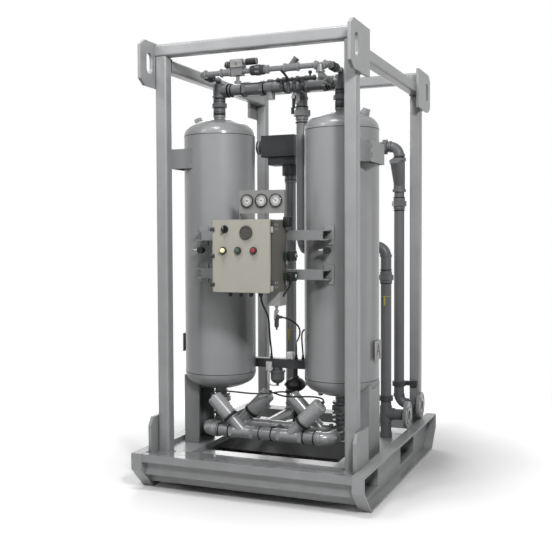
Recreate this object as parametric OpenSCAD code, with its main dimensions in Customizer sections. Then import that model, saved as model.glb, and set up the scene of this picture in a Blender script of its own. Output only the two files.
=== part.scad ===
// Twin-tower desiccant air dryer in a lifting frame on a fork skid.
// Origin: centre of the post frame on the ground. X right, Y back, Z up, millimetres.

/* [Frame] */
// Width over the outsides of the posts
post_span_x = 1067; // [1040:1:1100]
// Depth over the outsides of the posts
post_span_y = 1338; // [1300:1:1400]
// Side of the square frame tube
tube = 63.5; // [55:0.5:70]
// Wall of the frame tube
tube_wall = 6; // [3:0.5:8]
// Outside corner radius of the frame tube
tube_r = 12; // [9:0.5:14]
// Height over the top beams
frame_h = 2256; // [2230:1:2400]
// Drop of the side beams below the end beams
side_drop = 71; // [66:1:90]
// Thickness of a lifting lug
lug_t = 16; // [10:1:16]
// Thickness of the plates beside the front posts' feet
gusset_t = 17; // [10:1:17]
// Length of a lifting lug
lug_l = 300; // [280:1:320]
// Height of a lifting lug
lug_h = 226; // [210:1:240]
// Width of the shackle slot
slot_w = 55; // [40:1:60]
// Height of the shackle slot
slot_h = 105; // [90:1:120]

/* [Skid] */
// Width over the rails
skid_w = 1219; // [1210:1:1260]
// Height of a rail
rail_h = 194; // [185:1:200]
// Rail flange beyond the web
rail_flange = 51; // [45:1:55]
// Rail web thickness
rail_web = 8; // [6:1:10]
// Rail flange and runner plate thickness
rail_t = 10; // [8:1:12]
// Front overhang of the rails and reach of the lugs
nose = 138; // [130:1:150]
// Rear overhang of the rails
tail = 49; // [40:1:80]
// Height at which a runner starts to slope
knee_z = 112; // [105:1:120]
// Length of the runner slope
knee_run = 116; // [100:1:118]
// Deck height
deck_z = 169; // [165:1:175]
// Deck plate thickness
deck_t = 10; // [6:1:12]
// Fork pocket inside width
fork_w = 300; // [280:1:304]
// Fork pocket inside height
fork_h = 92; // [80:1:93]
// Fork pocket floor
fork_z = 40; // [36:1:40]
// Fork pocket wall
fork_wall = 6; // [4:1:6]
// Centre of the front fork pocket from the posts' front
fork_in = 117; // [117:1:122]
// Distance between the fork pockets
fork_pitch = 749; // [740:1:760]

/* [Towers] */
// Outside diameter of a tower
tower_d = 380; // [370:1:384]
// Half the distance between the tower axes
tower_x = 344; // [340:1:346]
// Tower axes in front of the frame centre
tower_y = 315; // [310:1:320]
// Lower seam height
seam_lo = 558; // [552:1:566]
// Upper seam height
seam_hi = 1816; // [1810:1:1822]
// Shell thickness
shell_t = 8; // [5:0.5:10]
// Two inch pipe outside diameter
pipe_d = 60.3; // [58:0.1:61]
// Two inch pipe bore
pipe_bore = 52.5; // [48:0.5:53]
// Width of a leg channel
leg_w = 190; // [170:1:200]
// Depth of a leg channel
leg_d = 85; // [75:1:90]
// Leg web thickness
leg_t = 10; // [8:1:12]

/* [Piping] */
// Height of the upper manifold
manifold_z = 2060; // [2056:1:2064]
// Height of the lower headers
header_z = 277; // [274:1:280]
// Front header in front of the tower axes
header_reach = 185; // [180:1:192]
// Distance of the front valves from the middle
front_valve_x = 125; // [122:1:130]
// Distance of the rear valves from the middle
rear_valve_x = 235; // [232:1:238]
// Half length of an angle valve
valve_half = 60; // [58:1:62]
// Half length of an angle valve on the side that its neck leans to
lean_half = 75; // [74:1:78]
// Length of an angle valve neck from the pipe axis
neck_l = 92; // [91:1:98]
// Diameter of a valve actuator
actuator_d = 80; // [70:1:81]
// Length of a valve actuator
actuator_l = 128; // [122:1:134]
// Purge line in front of the tower axes
purge_reach = 195; // [190:1:200]
// Purge pipe diameter
purge_d = 26.7; // [24:0.1:28]
// Place of the outlet drop along X
drop_x = 92; // [88:1:94]
// Distance of the outlet drop behind the tower axes
drop_reach = 100; // [98:1:104]
// Height of the outlet crossover
outlet_z = 1222; // [1210:1:1240]
// Place of the outlet riser along X
outlet_x = 425; // [420:1:428]
// Place of the outlet riser along Y
outlet_y = 241; // [236:1:250]
// Height of the inlet crossover
inlet_z = 1817; // [1800:1:1830]
// Place of the inlet riser along X
inlet_x = 419; // [412:1:424]
// Place of the inlet riser along Y
inlet_y = 560; // [554:1:564]
// Place of the inlet drop along X
feed_x = 82; // [78:1:86]
// Place of the inlet drop along Y
feed_y = 60; // [56:1:70]
// Flange height above the ground
flange_z = 272; // [271:1:280]
// Flange face along X
flange_face = 560; // [556:1:566]
// Flange outside diameter
flange_d = 152; // [148:1:153]
// Flange thickness
flange_t = 19; // [16:0.5:21]
// Flange bolt circle
flange_pcd = 120.65; // [118:0.05:122]
// Flange bolt hole diameter
flange_hole = 19; // [16:0.5:20]

/* [Controls] */
// Width of the enclosure
box_w = 302; // [296:1:306]
// Height of the enclosure
box_h = 349; // [345:1:356]
// Depth of the enclosure without its door
box_d = 192; // [180:1:194]
// Enclosure sheet
box_t = 2; // [1.5:0.1:3]
// Middle of the enclosure along X
box_x = -10; // [-14:1:-6]
// Bottom of the enclosure
box_z = 1012.5; // [1008:0.5:1016]
// Depth of the door tray
door_t = 14; // [12:0.5:15]
// Gap between the door and the enclosure
door_gap = 2; // [1.5:0.1:3]
// Height of a strut
strut_h = 50; // [44:1:54]
// Depth of a strut
strut_d = 53; // [48:1:58]
// Radius of a hinge pin
pin_r = 3; // [2.5:0.1:3.2]
// Running clearance of a pin in its bore
pin_fit = 0.05; // [0.02:0.01:0.08]
// Radius of a push button
button_r = 11; // [10:0.1:12]
// Travel of a push button
button_travel = 4; // [2:0.5:5]
// Running clearance of a button
button_fit = 0.4; // [0.3:0.05:0.6]
// Diameter of a pressure gauge
gauge_d = 66; // [60:1:70]

/* [Hidden] */
$fn = 48;

// Small overshoot of a cutting tool
eps = 1;
// Room left where one curved face is coped to another
cope = 0.1;

// Frame places
px = post_span_x / 2;
py = post_span_y / 2;
beam_z = frame_h - tube;
side_z = frame_h - side_drop - tube;
lug_z = frame_h + 6 - lug_h;
lug_cut_y = 45;
lug_cut_z = 30;
slot_in = 86;

// Skid places
hx = skid_w / 2;
web_x = hx - rail_flange - rail_web;
nose_y = -(py + nose);
tail_y = py + tail;
fork_ys = [-(py - fork_in), fork_pitch - (py - fork_in)];
fork_top = fork_z + fork_h + fork_wall;
bumper = 40;
bumper_t = 6;
skirt_t = 8;
skirt_z = 85;
deck_back = nose_y + 217;
sill_w = 166;
sill_back = 30;
rear_deck = py - tube - 5;

// Tower places
ty = -tower_y;
tr = tower_d / 2;
crown_r = 0.9 * tower_d;
knuckle_r = 0.1737 * tower_d;
crown_drop = sqrt(pow(crown_r - knuckle_r, 2) - pow(tr - knuckle_r, 2));
head_h = crown_r - crown_drop;
nozzle_l = 17;
nozzle_ring = 8;
nozzle_hi = seam_hi + head_h + nozzle_l;
nozzle_lo = seam_lo - head_h - nozzle_l;
fitting_d = pipe_d + 8;
port_d = pipe_d + 4.5;
union_d = pipe_d + 28;
tee_half = 36;
pad_w = 50;
pad_h = 97;
pad_t = 7;
strut_back = ty - tr - pad_t;
strut_zs = [box_z + 55.5, box_z + 248.5];
leg_x = tower_x + tr - 17;
leg_top = seam_lo - 20;
bed_gap = 4;
screen_t = 5;
plug_r = 120;
plug_tilt = asin(plug_r / crown_r);
plug_z = seam_hi - crown_drop + sqrt(pow(crown_r, 2) - pow(plug_r, 2));

// Piping places
elbow_r = 58;
purge_r = 20;
front_y = ty - header_reach;
rear_half = rear_valve_x - lean_half;
purge_y = ty - purge_reach;
purge_z = manifold_z + tee_half + purge_r;
drop_y = ty + drop_reach;
flange_back = flange_face - flange_t - 2;
boss_d = 36;
silencer_x = 20;
drain_x = 45;
bowl_x = -60;
tie_y = ty + 115;
tie_h = 48;
tie_z = seam_lo + 15;
lever_x = 96;
lever_z = manifold_z - 62;
stem_r = 6;

// Control places
box_edge = 7;
box_x0 = box_x - box_w / 2;
box_x1 = box_x + box_w / 2;
box_top = box_z + box_h;
box_back = strut_back - strut_d;
box_front = box_back - box_d;
door_back = box_front - door_gap;
door_front = door_back - door_t;
hinge_x = box_x1 + 8;
hinge_r = 6;
hinge_h = 55;
hinge_zs = [box_z + box_edge + 1, box_top - box_edge - 1 - hinge_h];
knob_at = [box_x - 85, box_z + 303.5];
horn_at = [box_x + 28, box_z + 287.5];
lamp_at = [box_x - 92, box_z + 201.5];
start_at = [box_x - 14, box_z + 201.5];
stop_at = [box_x + 67, box_z + 201.5];
collar_r = button_r + 6;
sleeve_r = button_r + 2;
panel_y = box_back - 25;
panel_x0 = box_x - 93;
panel_x1 = box_x1;
panel_z0 = box_top + 33.5;
panel_h = 114;
panel_t = 2.5;
gauge_xs = [box_x - 48, box_x + 29, box_x + 106];
gauge_z = box_top + 96.5;

// Cylinders along each axis
module cyl_x(x0, x1, d) { translate([x0, 0, 0]) rotate([0, 90, 0]) cylinder(d = d, h = x1 - x0); }
module cyl_y(y0, y1, d) { translate([0, y0, 0]) rotate([-90, 0, 0]) cylinder(d = d, h = y1 - y0); }
module cyl_z(z0, z1, d) { translate([0, 0, z0]) cylinder(d = d, h = z1 - z0); }
module hex_x(x0, x1, d) { translate([x0, 0, 0]) rotate([0, 90, 0]) cylinder(d = d, h = x1 - x0, $fn = 6); }
module hex_z(z0, z1, d) { translate([0, 0, z0]) cylinder(d = d, h = z1 - z0, $fn = 6); }

// A box given by two opposite corners
module span(a, b) { translate(a) cube(b - a); }

// The same box with its four edges along Y rounded to r
module soft_span(a, b, r) {
  w = b[0] - a[0];
  h = b[2] - a[2];
  translate([a[0], b[1], a[2]]) rotate([90, 0, 0]) linear_extrude(b[1] - a[1]) {
    translate([r, 0]) square([w - 2 * r, h]);
    translate([0, r]) square([w, h - 2 * r]);
    for (x = [r, w - r], z = [r, h - r]) translate([x, z]) circle(r = r);
  }
}

// A domed cap h tall on a rim of radius r
module dome(r, h) {
  ball = (r * r + h * h) / (2 * h);
  rotate_extrude() intersection() {
    translate([0, h - ball]) circle(r = ball);
    square([r + 4, h + 4]);
  }
}

// Both sides of the middle plane
module both() {
  children();
  mirror([1, 0, 0]) children();
}

// A bend whose legs leave its corner along +X and +Y
module elbow(r, d, rim) {
  translate([r, r, 0]) rotate([0, 0, 180]) rotate_extrude(angle = 90) translate([r, 0]) circle(d = d);
  cyl_x(r - 12, r, rim);
  cyl_y(r - 12, r, rim);
}

// Hollow rounded square, centred
module tube_section(s, r) {
  square([s, s - 2 * r], center = true);
  square([s - 2 * r, s], center = true);
  for (x = [-1, 1], y = [-1, 1]) translate([x * (s / 2 - r), y * (s / 2 - r)]) circle(r = r);
}
module tube_bar(l) {
  linear_extrude(l) difference() {
    tube_section(tube, tube_r);
    tube_section(tube - 2 * tube_wall, max(tube_r - tube_wall, 0.5));
  }
}

// Side outline of a rail, grown inward by t
module rail_outline(t) {
  slope = sqrt(pow(knee_z, 2) + pow(knee_run, 2));
  knee = knee_z + t * (slope - knee_z) / knee_run;
  foot = (t * slope - (t - knee_z) * knee_run) / knee_z;
  polygon([[nose_y + t, rail_h - t], [nose_y + t, knee], [nose_y + foot, t],
    [tail_y - foot, t], [tail_y - t, knee], [tail_y - t, rail_h - t]]);
}
module rail() {
  translate([web_x, 0, 0]) rotate([90, 0, 90]) difference() {
    linear_extrude(rail_web + rail_flange) rail_outline(0);
    translate([0, 0, rail_web]) linear_extrude(rail_flange + eps) rail_outline(rail_t);
    for (y = fork_ys) translate([y - fork_w / 2 - fork_wall, fork_z - fork_wall, -eps])
      cube([fork_w + 2 * fork_wall, fork_h + 2 * fork_wall, rail_web + 2 * eps]);
  }
}
module skid_rail_left() { color("gainsboro") mirror([1, 0, 0]) rail(); }
module skid_rail_right() { color("gainsboro") rail(); }

// Profile in the YZ plane carried between the rail webs
module cross_bar() { translate([-web_x, 0, 0]) rotate([90, 0, 90]) linear_extrude(2 * web_x) children(); }
module front_cross_member() {
  lip_back = nose_y + bumper;
  color("gainsboro") cross_bar() {
    difference() {
      translate([nose_y, rail_h - bumper - 1]) square(bumper);
      translate([nose_y + bumper_t, rail_h - bumper - 1 + bumper_t]) square(bumper - 2 * bumper_t);
    }
    translate([lip_back - skirt_t, skirt_z]) square([skirt_t, rail_h - bumper - skirt_z]);
    translate([lip_back - eps, deck_z - deck_t]) square([deck_back - lip_back + eps, deck_t]);
    translate([deck_back - skirt_t, fork_top]) square([skirt_t, deck_z - fork_top]);
  }
}
module rear_cross_member() {
  color("gainsboro") cross_bar() {
    translate([rear_deck, deck_z - deck_t]) square([tail_y - rear_deck, deck_t]);
    translate([tail_y - skirt_t, knee_z]) square([skirt_t, deck_z - knee_z]);
    translate([rear_deck, knee_z]) square([skirt_t, deck_z - knee_z]);
  }
}
module tower_sills() {
  color("gainsboro") both() {
    span([web_x - sill_w, deck_back, deck_z - deck_t], [web_x, sill_back, deck_z]);
    span([web_x - sill_w, deck_back, fork_top], [web_x - sill_w + skirt_t, sill_back, deck_z]);
    span([web_x - skirt_t, deck_back, fork_top], [web_x, sill_back, deck_z]);
  }
}
module fork_tubes() {
  half = web_x + rail_web;
  color("gainsboro") for (y = fork_ys) difference() {
    span([-half, y - fork_w / 2 - fork_wall, fork_z - fork_wall],
      [half, y + fork_w / 2 + fork_wall, fork_top]);
    span([-half - eps, y - fork_w / 2, fork_z], [half + eps, y + fork_w / 2, fork_z + fork_h]);
  }
}

// Posts and beams
module post(sx, sy) {
  color("gainsboro") translate([sx * (px - tube / 2), sy * (py - tube / 2), deck_z])
    tube_bar(beam_z - deck_z);
}
module post_front_left() { post(-1, -1); }
module post_front_right() { post(1, -1); }
module post_rear_left() { post(-1, 1); }
module post_rear_right() { post(1, 1); }
module end_beams() {
  color("gainsboro") for (s = [-1, 1]) translate([-px, s * (py - tube / 2), beam_z + tube / 2])
    rotate([0, 90, 0]) tube_bar(2 * px);
}
module side_beams() {
  reach = py - tube;
  color("gainsboro") for (s = [-1, 1]) translate([s * (px - tube / 2), -reach, side_z + tube / 2])
    rotate([-90, 0, 0]) tube_bar(2 * reach);
}
module lug() {
  tip = py + nose;
  root = tip - lug_l;
  top = lug_z + lug_h;
  slot_z = lug_z + 116;
  translate([px, 0, 0]) rotate([90, 0, 90]) difference() {
    linear_extrude(lug_t) polygon([[root, lug_z], [tip - lug_cut_y, lug_z], [tip, lug_z + lug_cut_z],
      [tip, top - lug_cut_z], [tip - lug_cut_y, top], [root, top]]);
    translate([tip - slot_in, slot_z, -eps]) linear_extrude(lug_t + 2 * eps) {
      square([slot_w, slot_h - slot_w], center = true);
      for (s = [-1, 1]) translate([0, s * (slot_h - slot_w) / 2]) circle(d = slot_w);
    }
  }
}
module lifting_lugs() {
  color("silver") both() {
    lug();
    mirror([0, 1, 0]) lug();
  }
}
module post_gussets() {
  front = -py - 66;
  back = -py + 134;
  top = deck_z + 196;
  color("gainsboro") both() translate([px, 0, 0]) rotate([90, 0, 90]) linear_extrude(gusset_t)
    polygon([[front, deck_z], [back, deck_z], [back, top], [front + 25, top], [front, top - 40]]);
}

// Half section of a dished head above its seam, shrunk by t
module head_section(t) {
  lean = atan2(tr - knuckle_r, crown_drop);
  intersection() {
    square([tr, head_h]);
    union() {
      intersection() {
        translate([0, -crown_drop]) circle(r = crown_r - t);
        polygon([[0, -crown_drop], [0, crown_r],
          [2 * crown_r * sin(lean), 2 * crown_r * cos(lean) - crown_drop]]);
      }
      translate([tr - knuckle_r, 0]) circle(r = knuckle_r - t);
    }
  }
}
// Solid of revolution of a vessel, shrunk by t
module vessel(t) {
  rotate_extrude() {
    translate([0, seam_lo]) square([tr - t, seam_hi - seam_lo]);
    translate([0, seam_hi]) head_section(t);
    translate([0, seam_lo]) mirror([0, 1]) head_section(t);
  }
}
module tower(seam = 3) {
  translate([0, ty, 0]) {
    difference() {
      union() {
        vessel(0);
        cyl_z(nozzle_lo, nozzle_hi, pipe_d);
        cyl_z(nozzle_hi - nozzle_ring, nozzle_hi, fitting_d);
        cyl_z(nozzle_lo, nozzle_lo + nozzle_ring, fitting_d);
        for (z = strut_zs) translate([-pad_w / 2, -tr - pad_t, z + strut_h / 2 - pad_h / 2])
          cube([pad_w, pad_t + 5, pad_h]);
      }
      vessel(shell_t);
      cyl_z(nozzle_lo - eps, nozzle_hi + eps, pipe_bore);
      for (z = [seam_lo, seam_hi]) rotate_extrude() translate([tr, z]) circle(d = seam);
    }
  }
}
module tower_left() { color("darkgray") translate([-tower_x, 0, 0]) tower(); }
module tower_right() { color("darkgray") translate([tower_x, 0, 0]) tower(); }
module tower_legs() {
  color("darkgray") both() difference() {
    union() {
      span([leg_x - leg_t, ty - leg_w / 2, deck_z], [leg_x, ty + leg_w / 2, leg_top]);
      for (s = [-1, 1]) translate([leg_x - leg_d, ty + s * (leg_w - leg_t) / 2 - leg_t / 2, deck_z])
        cube([leg_d, leg_t, leg_top - deck_z]);
    }
    translate([tower_x, ty, 0]) vessel(-cope);
  }
}
module desiccant_beds() {
  color("wheat") both() translate([tower_x, ty, 0])
    cyl_z(seam_lo + screen_t, seam_hi - screen_t, tower_d - 2 * shell_t - bed_gap);
}
module bed_screens() {
  color("silver") both() translate([tower_x, ty, 0]) for (z = [seam_lo, seam_hi - screen_t])
    cyl_z(z, z + screen_t, tower_d - 2 * shell_t - 2 * cope);
}
module fill_plugs() {
  color("gray") both() difference() {
    translate([tower_x + plug_r, ty, plug_z]) rotate([0, plug_tilt, 0]) {
      cyl_z(-14, 14, 50);
      cyl_z(14, 18, 42);
      hex_z(18, 32, 46);
    }
    translate([tower_x, ty, 0]) vessel(-cope);
  }
}
module side_brackets() {
  sheet = 5;
  out = tower_x + tr + 8;
  front = ty - 175;
  back = ty + 75;
  z0 = seam_hi - 176;
  z1 = seam_hi - 73;
  color("dimgray") both() difference() {
    union() {
      span([out, front, z0], [out + sheet, back, z1]);
      span([tower_x + 60, front, z0], [out + sheet, front + sheet, z1]);
      span([tower_x + 150, back - sheet, z0], [out + sheet, back, z1]);
    }
    translate([tower_x, ty, z0 - eps]) cylinder(r = tr + cope, h = z1 - z0 + 2 * eps);
    for (z = [z0 + 18, z0 + 64]) span([out - eps, front + 16, z], [out + sheet + eps, front + 26, z + 25]);
  }
}
module tie_bar() {
  color("black") difference() {
    span([-tower_x, tie_y - tie_h / 2, tie_z], [tower_x, tie_y + tie_h / 2, tie_z + tie_h]);
    both() translate([tower_x, ty, tie_z - eps]) cylinder(r = tr + cope, h = tie_h + 2 * eps);
  }
}

// Control group
module control_struts() {
  web_half = tower_x - 14;
  flange_half = tower_x + 14;
  sheet = 5;
  color("gainsboro") for (z = strut_zs) {
    span([-web_half, box_back, z], [web_half, box_back + sheet, z + strut_h]);
    for (e = [z, z + strut_h - sheet])
      span([-flange_half, box_back, e], [flange_half, strut_back, e + sheet]);
  }
}
module enclosure_box() {
  rim = 16;
  color("beige") {
    difference() {
      soft_span([box_x0, box_front, box_z], [box_x1, box_back, box_top], box_edge);
      soft_span([box_x0 + box_t, box_front + box_t, box_z + box_t],
        [box_x1 - box_t, box_back - box_t, box_top - box_t], box_edge - box_t);
      span([box_x0 + rim, box_front - eps, box_z + rim], [box_x1 - rim, box_back - box_t, box_top - rim]);
    }
    for (z = hinge_zs) {
      half = z + hinge_h / 2;
      translate([hinge_x, box_front, 0]) {
        cyl_z(half + door_gap / 4, z + hinge_h, 2 * hinge_r);
        cyl_z(z + 4, half + door_gap / 2, 2 * pin_r);
      }
      span([box_x1 - box_t, box_front, half + door_gap / 4], [hinge_x, box_front + hinge_r, z + hinge_h]);
    }
  }
}
module enclosure_door() {
  color("beige") difference() {
    union() {
      difference() {
        soft_span([box_x0, door_front, box_z], [box_x1, door_back, box_top], box_edge);
        soft_span([box_x0 + box_t, door_front + box_t, box_z + box_t],
          [box_x1 - box_t, door_back + eps, box_top - box_t], box_edge - box_t);
      }
      for (z = hinge_zs) {
        half = z + hinge_h / 2 - door_gap / 4;
        translate([hinge_x, box_front, 0]) cyl_z(z, half, 2 * hinge_r);
        span([box_x1, door_back - 9, z], [hinge_x, box_front, half]);
        span([box_x1 - box_t, door_back - 9, z], [hinge_x + hinge_r, door_back - 5, half]);
      }
    }
    for (z = hinge_zs) translate([hinge_x, box_front, z - eps])
      cylinder(r = pin_r + pin_fit, h = hinge_h);
    for (p = [start_at, stop_at, lamp_at]) translate([p[0], 0, p[1]])
      cyl_y(door_front - eps, door_back + eps, 2 * sleeve_r);
    translate([knob_at[0], 0, knob_at[1]]) cyl_y(door_front - eps, door_back, 2 * (stem_r + pin_fit));
  }
}
module door_gasket() {
  rim = 4;
  wide = 10;
  color("black") difference() {
    span([box_x0 + rim, door_front + box_t, box_z + rim], [box_x1 - rim, box_front - 0.4, box_top - rim]);
    span([box_x0 + rim + wide, door_front, box_z + rim + wide],
      [box_x1 - rim - wide, box_front, box_top - rim - wide]);
  }
}
module controller_plate() {
  edge = 30;
  stand = 12;
  back = box_back - box_t;
  color("white") {
    span([box_x0 + edge, back - stand - 3, box_z + edge], [box_x1 - edge, back - stand, box_top - edge]);
    for (x = [box_x0 + edge + 12, box_x1 - edge - 12], z = [box_z + edge + 12, box_top - edge - 12])
      translate([x, 0, z]) cyl_y(back - stand - eps, back, 12);
    span([box_x - 60, back - stand - 70, box_z + 150], [box_x + 60, back - stand - 3, box_z + 250]);
    for (i = [0 : 5]) span([box_x - 96 + 32 * i, back - stand - 45, box_z + 60],
      [box_x - 70 + 32 * i, back - stand - 3, box_z + 110]);
  }
}
module selector_knob() {
  face = door_front - button_fit;
  color("black") translate([knob_at[0], 0, knob_at[1]]) {
    cyl_y(face - 8, face, 30);
    translate([-5, face - 22, -14]) cube([10, 14, 28]);
    cyl_y(face - 1, door_back + 4, 2 * stem_r);
    cyl_y(door_front + box_t + button_fit, door_front + box_t + 5, 20);
  }
}
// Pilot devices carried by the door
module collar(p) {
  translate([p[0], 0, p[1]]) difference() {
    union() {
      cyl_y(door_front - 9, door_front, 2 * collar_r);
      cyl_y(door_front - eps, door_front + 30, 2 * (sleeve_r - cope));
    }
    cyl_y(door_front - 10, door_front + 27, 2 * (button_r + button_fit));
  }
}
module button_collars() { color("silver") for (p = [lamp_at, start_at, stop_at]) collar(p); }
module pilot_lamp() {
  color("white") translate([lamp_at[0], 0, lamp_at[1]])
    cyl_y(door_front - 17, door_front + 27, 2 * (button_r + button_fit - cope));
}
module button(p) {
  translate([p[0], 0, p[1]]) cyl_y(door_front - 14, door_front + 27 - button_travel - 1, 2 * button_r);
}
module start_button() { color("green") button(start_at); }
module stop_button() { color("red") button(stop_at); }
module alarm_horn() {
  horn_out = 10;
  color("black") translate([horn_at[0], 0, horn_at[1]]) difference() {
    union() {
      cyl_y(door_front - 5, door_front, 66);
      cyl_y(door_front - horn_out, door_front - 5, 60);
    }
    cyl_y(door_front - horn_out - eps, door_front - horn_out + 3, 52);
  }
}
module gauge_panel() {
  fold = 25;
  foot = 30;
  color("gainsboro") difference() {
    union() {
      span([panel_x0, panel_y, panel_z0], [panel_x1, panel_y + panel_t, panel_z0 + panel_h]);
      for (x = [panel_x0, panel_x1 - panel_t]) {
        span([x, panel_y, panel_z0], [x + panel_t, panel_y + fold, panel_z0 + panel_h]);
        span([x, panel_y, box_top], [x + panel_t, panel_y + fold, panel_z0 + eps]);
      }
      span([panel_x0, panel_y, box_top], [panel_x0 + foot, panel_y + fold, box_top + panel_t]);
      span([panel_x1 - foot, panel_y, box_top], [panel_x1, panel_y + fold, box_top + panel_t]);
    }
    for (x = gauge_xs) translate([x, 0, gauge_z]) cyl_y(panel_y - eps, panel_y + panel_t + eps, gauge_d - 6);
  }
}
module pressure_gauges() {
  color("white") for (x = gauge_xs) translate([x, 0, gauge_z]) {
    difference() {
      cyl_y(panel_y - 8, panel_y, gauge_d);
      cyl_y(panel_y - 9, panel_y - 3, gauge_d - 9);
    }
    cyl_y(panel_y - eps, panel_y + 26, gauge_d - 6 - 2 * cope);
    cyl_y(panel_y + 26, panel_y + 50, 14);
  }
}
module solenoid_valves() {
  back = box_back - 4;
  color("darkolivegreen") for (z = [box_z + 56, box_z + 156]) {
    span([box_x1, back - 40, z], [box_x1 + 24, back, z + 34]);
    span([box_x1 + 20, back - 36, z - 6], [box_x1 + 58, back - 4, z + 40]);
    translate([box_x1 + 58, back - 20, z + 17]) cyl_x(-eps, 8, 14);
  }
}
module junction_box() {
  color("lightgray") span([box_x1 - 71, box_back - 80, box_z - 70], [box_x1 - 3, box_back - 2, box_z]);
}
module pilot_regulator() {
  color("silver") translate([box_x1 - 37, box_back - 41, 0]) {
    cyl_z(box_z - 92, box_z - 70, 24);
    cyl_z(box_z - 126, box_z - 92, 38);
    cyl_z(box_z - 178, box_z - 126, 30);
    cyl_z(box_z - 190, box_z - 178, 12);
  }
}
module sample_valves() {
  z = (strut_zs[0] + strut_zs[1] + strut_h) / 2 + 22;
  color("dimgray") for (s = [-1, 1]) translate([s * tower_x, ty, z]) difference() {
    union() {
      cyl_y(-tr - 30, -tr + 4, 16);
      cyl_y(-tr - 52, -tr - 26, 34);
      translate([0, -tr - 39, 0]) cyl_x(-44, 0, 12);
    }
    cylinder(r = tr + cope, h = 60, center = true);
  }
}

// Pipe runs. A stack is a union joint standing on a nozzle face.
module stack(l) {
  cyl_z(0, l, pipe_d);
  cyl_z(13, 36, pipe_d + 5);
  hex_z(44, 65, union_d);
  cyl_z(65, l - 5, pipe_d + 5);
}
module top_fittings() {
  color("darkgray") both() translate([tower_x, ty, nozzle_hi]) stack(manifold_z - tee_half - nozzle_hi);
}
module check_body() {
  cyl_x(-55, 55, pipe_d + 8);
  for (s = [-1, 1]) translate([s * 49, 0, 0]) hex_x(-10, 10, pipe_d + 20);
}
module upper_manifold() {
  color("darkgray") translate([0, ty, manifold_z]) {
    cyl_x(-tower_x, tower_x, pipe_d);
    both() translate([tower_x, 0, 0]) {
      cyl_z(-tee_half, tee_half, fitting_d);
      cyl_z(-tee_half, -tee_half + 10, fitting_d + 8);
      cyl_x(-tee_half - 8, 0, port_d);
      cyl_x(-tee_half - 18, -tee_half - 6, fitting_d + 6);
    }
    translate([-140, 0, 0]) check_body();
    translate([210, 0, 0]) check_body();
    translate([drop_x, 0, 0]) {
      cyl_x(-tee_half, tee_half, fitting_d);
      cyl_y(0, drop_reach - elbow_r, port_d);
    }
    translate([-45, 0, 0]) {
      cyl_z(-62, 0, 48);
      cyl_z(0, 40, 40);
      cyl_x(-18, 18, fitting_d);
    }
    translate([lever_x, 0, 0]) cyl_z(-tee_half - 4, 0, 30);
  }
}
module ball_valve() {
  color("silver") translate([lever_x, ty, 0]) {
    cyl_z(lever_z - 30, manifold_z - tee_half - 4, 26);
    translate([0, 0, lever_z]) {
      hex_z(-20, 20, 42);
      cyl_y(-26, 0, 16);
      cyl_y(-34, 0, 2 * stem_r);
      cyl_y(-38, -33, 18);
    }
  }
}
module valve_lever() {
  y0 = -33 + button_fit;
  y1 = -26 - button_fit;
  color("dimgray") translate([lever_x, ty, lever_z]) difference() {
    union() {
      cyl_y(y0, y1, 24);
      span([-8, y0, -60], [8, y0 + 4, 0]);
      span([-8, y0 - 14, -60], [8, y0 + 4, -56]);
      span([-8, y0 - 14, -90], [8, y0 - 10, -56]);
    }
    cyl_y(y0 - eps, y1 + eps, 2 * (stem_r + pin_fit));
  }
}
module purge_line() {
  end = tower_x - purge_r;
  color("darkgray") {
    translate([0, purge_y, purge_z]) {
      cyl_x(-end, end, purge_d);
      cyl_x(-238, -178, 36);
      span([-173, -20, -20], [-113, 20, 20]);
      cyl_x(-70, 8, 46);
      hex_x(-40, -18, 56);
      cyl_x(8, 18, 38);
      cyl_x(110, 188, 38);
      translate([140, 0, 0]) rotate([0, 40, 0]) cyl_z(0, 46, 30);
      translate([140, 0, 0]) rotate([0, 40, 0]) hex_z(46, 58, 36);
      cyl_x(278, 290, 36);
      translate([-143, 0, -40]) cyl_z(-18, 40, 18);
      translate([-143, 0, -60]) cyl_z(0, 12, 36);
    }
    both() translate([tower_x, 0, purge_z]) {
      translate([0, purge_y, 0]) rotate([0, 0, 90]) elbow(purge_r, purge_d + 4, purge_d + 9);
      translate([0, ty, 0]) rotate([-90, 0, -90]) elbow(purge_r, purge_d + 4, purge_d + 9);
      cyl_y(purge_y + purge_r, ty - purge_r, purge_d);
    }
  }
}
module purge_valve() {
  color("silver") translate([-143, purge_y, purge_z + 20]) {
    span([-33, -25, 0], [35, 25, 40]);
    translate([0, 0, 18]) {
      cyl_x(-72, -33, 24);
      cyl_x(-66, -42, 32);
    }
    translate([0, 0, 26]) {
      cyl_x(35, 42, 24);
      cyl_x(42, 106, 32);
    }
  }
}
module outlet_drop() {
  color("darkgray") translate([drop_x, drop_y, 0]) {
    translate([0, 0, manifold_z]) rotate([-90, 0, -90]) elbow(elbow_r, pipe_d, fitting_d);
    cyl_z(outlet_z + elbow_r, manifold_z - elbow_r, pipe_d);
    translate([0, 0, manifold_z - 150]) {
      cyl_z(-14, 50, fitting_d);
      hex_z(5, 35, union_d + 6);
    }
    translate([0, 0, outlet_z]) rotate([90, 0, 90]) elbow(elbow_r, pipe_d, fitting_d);
  }
}
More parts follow.
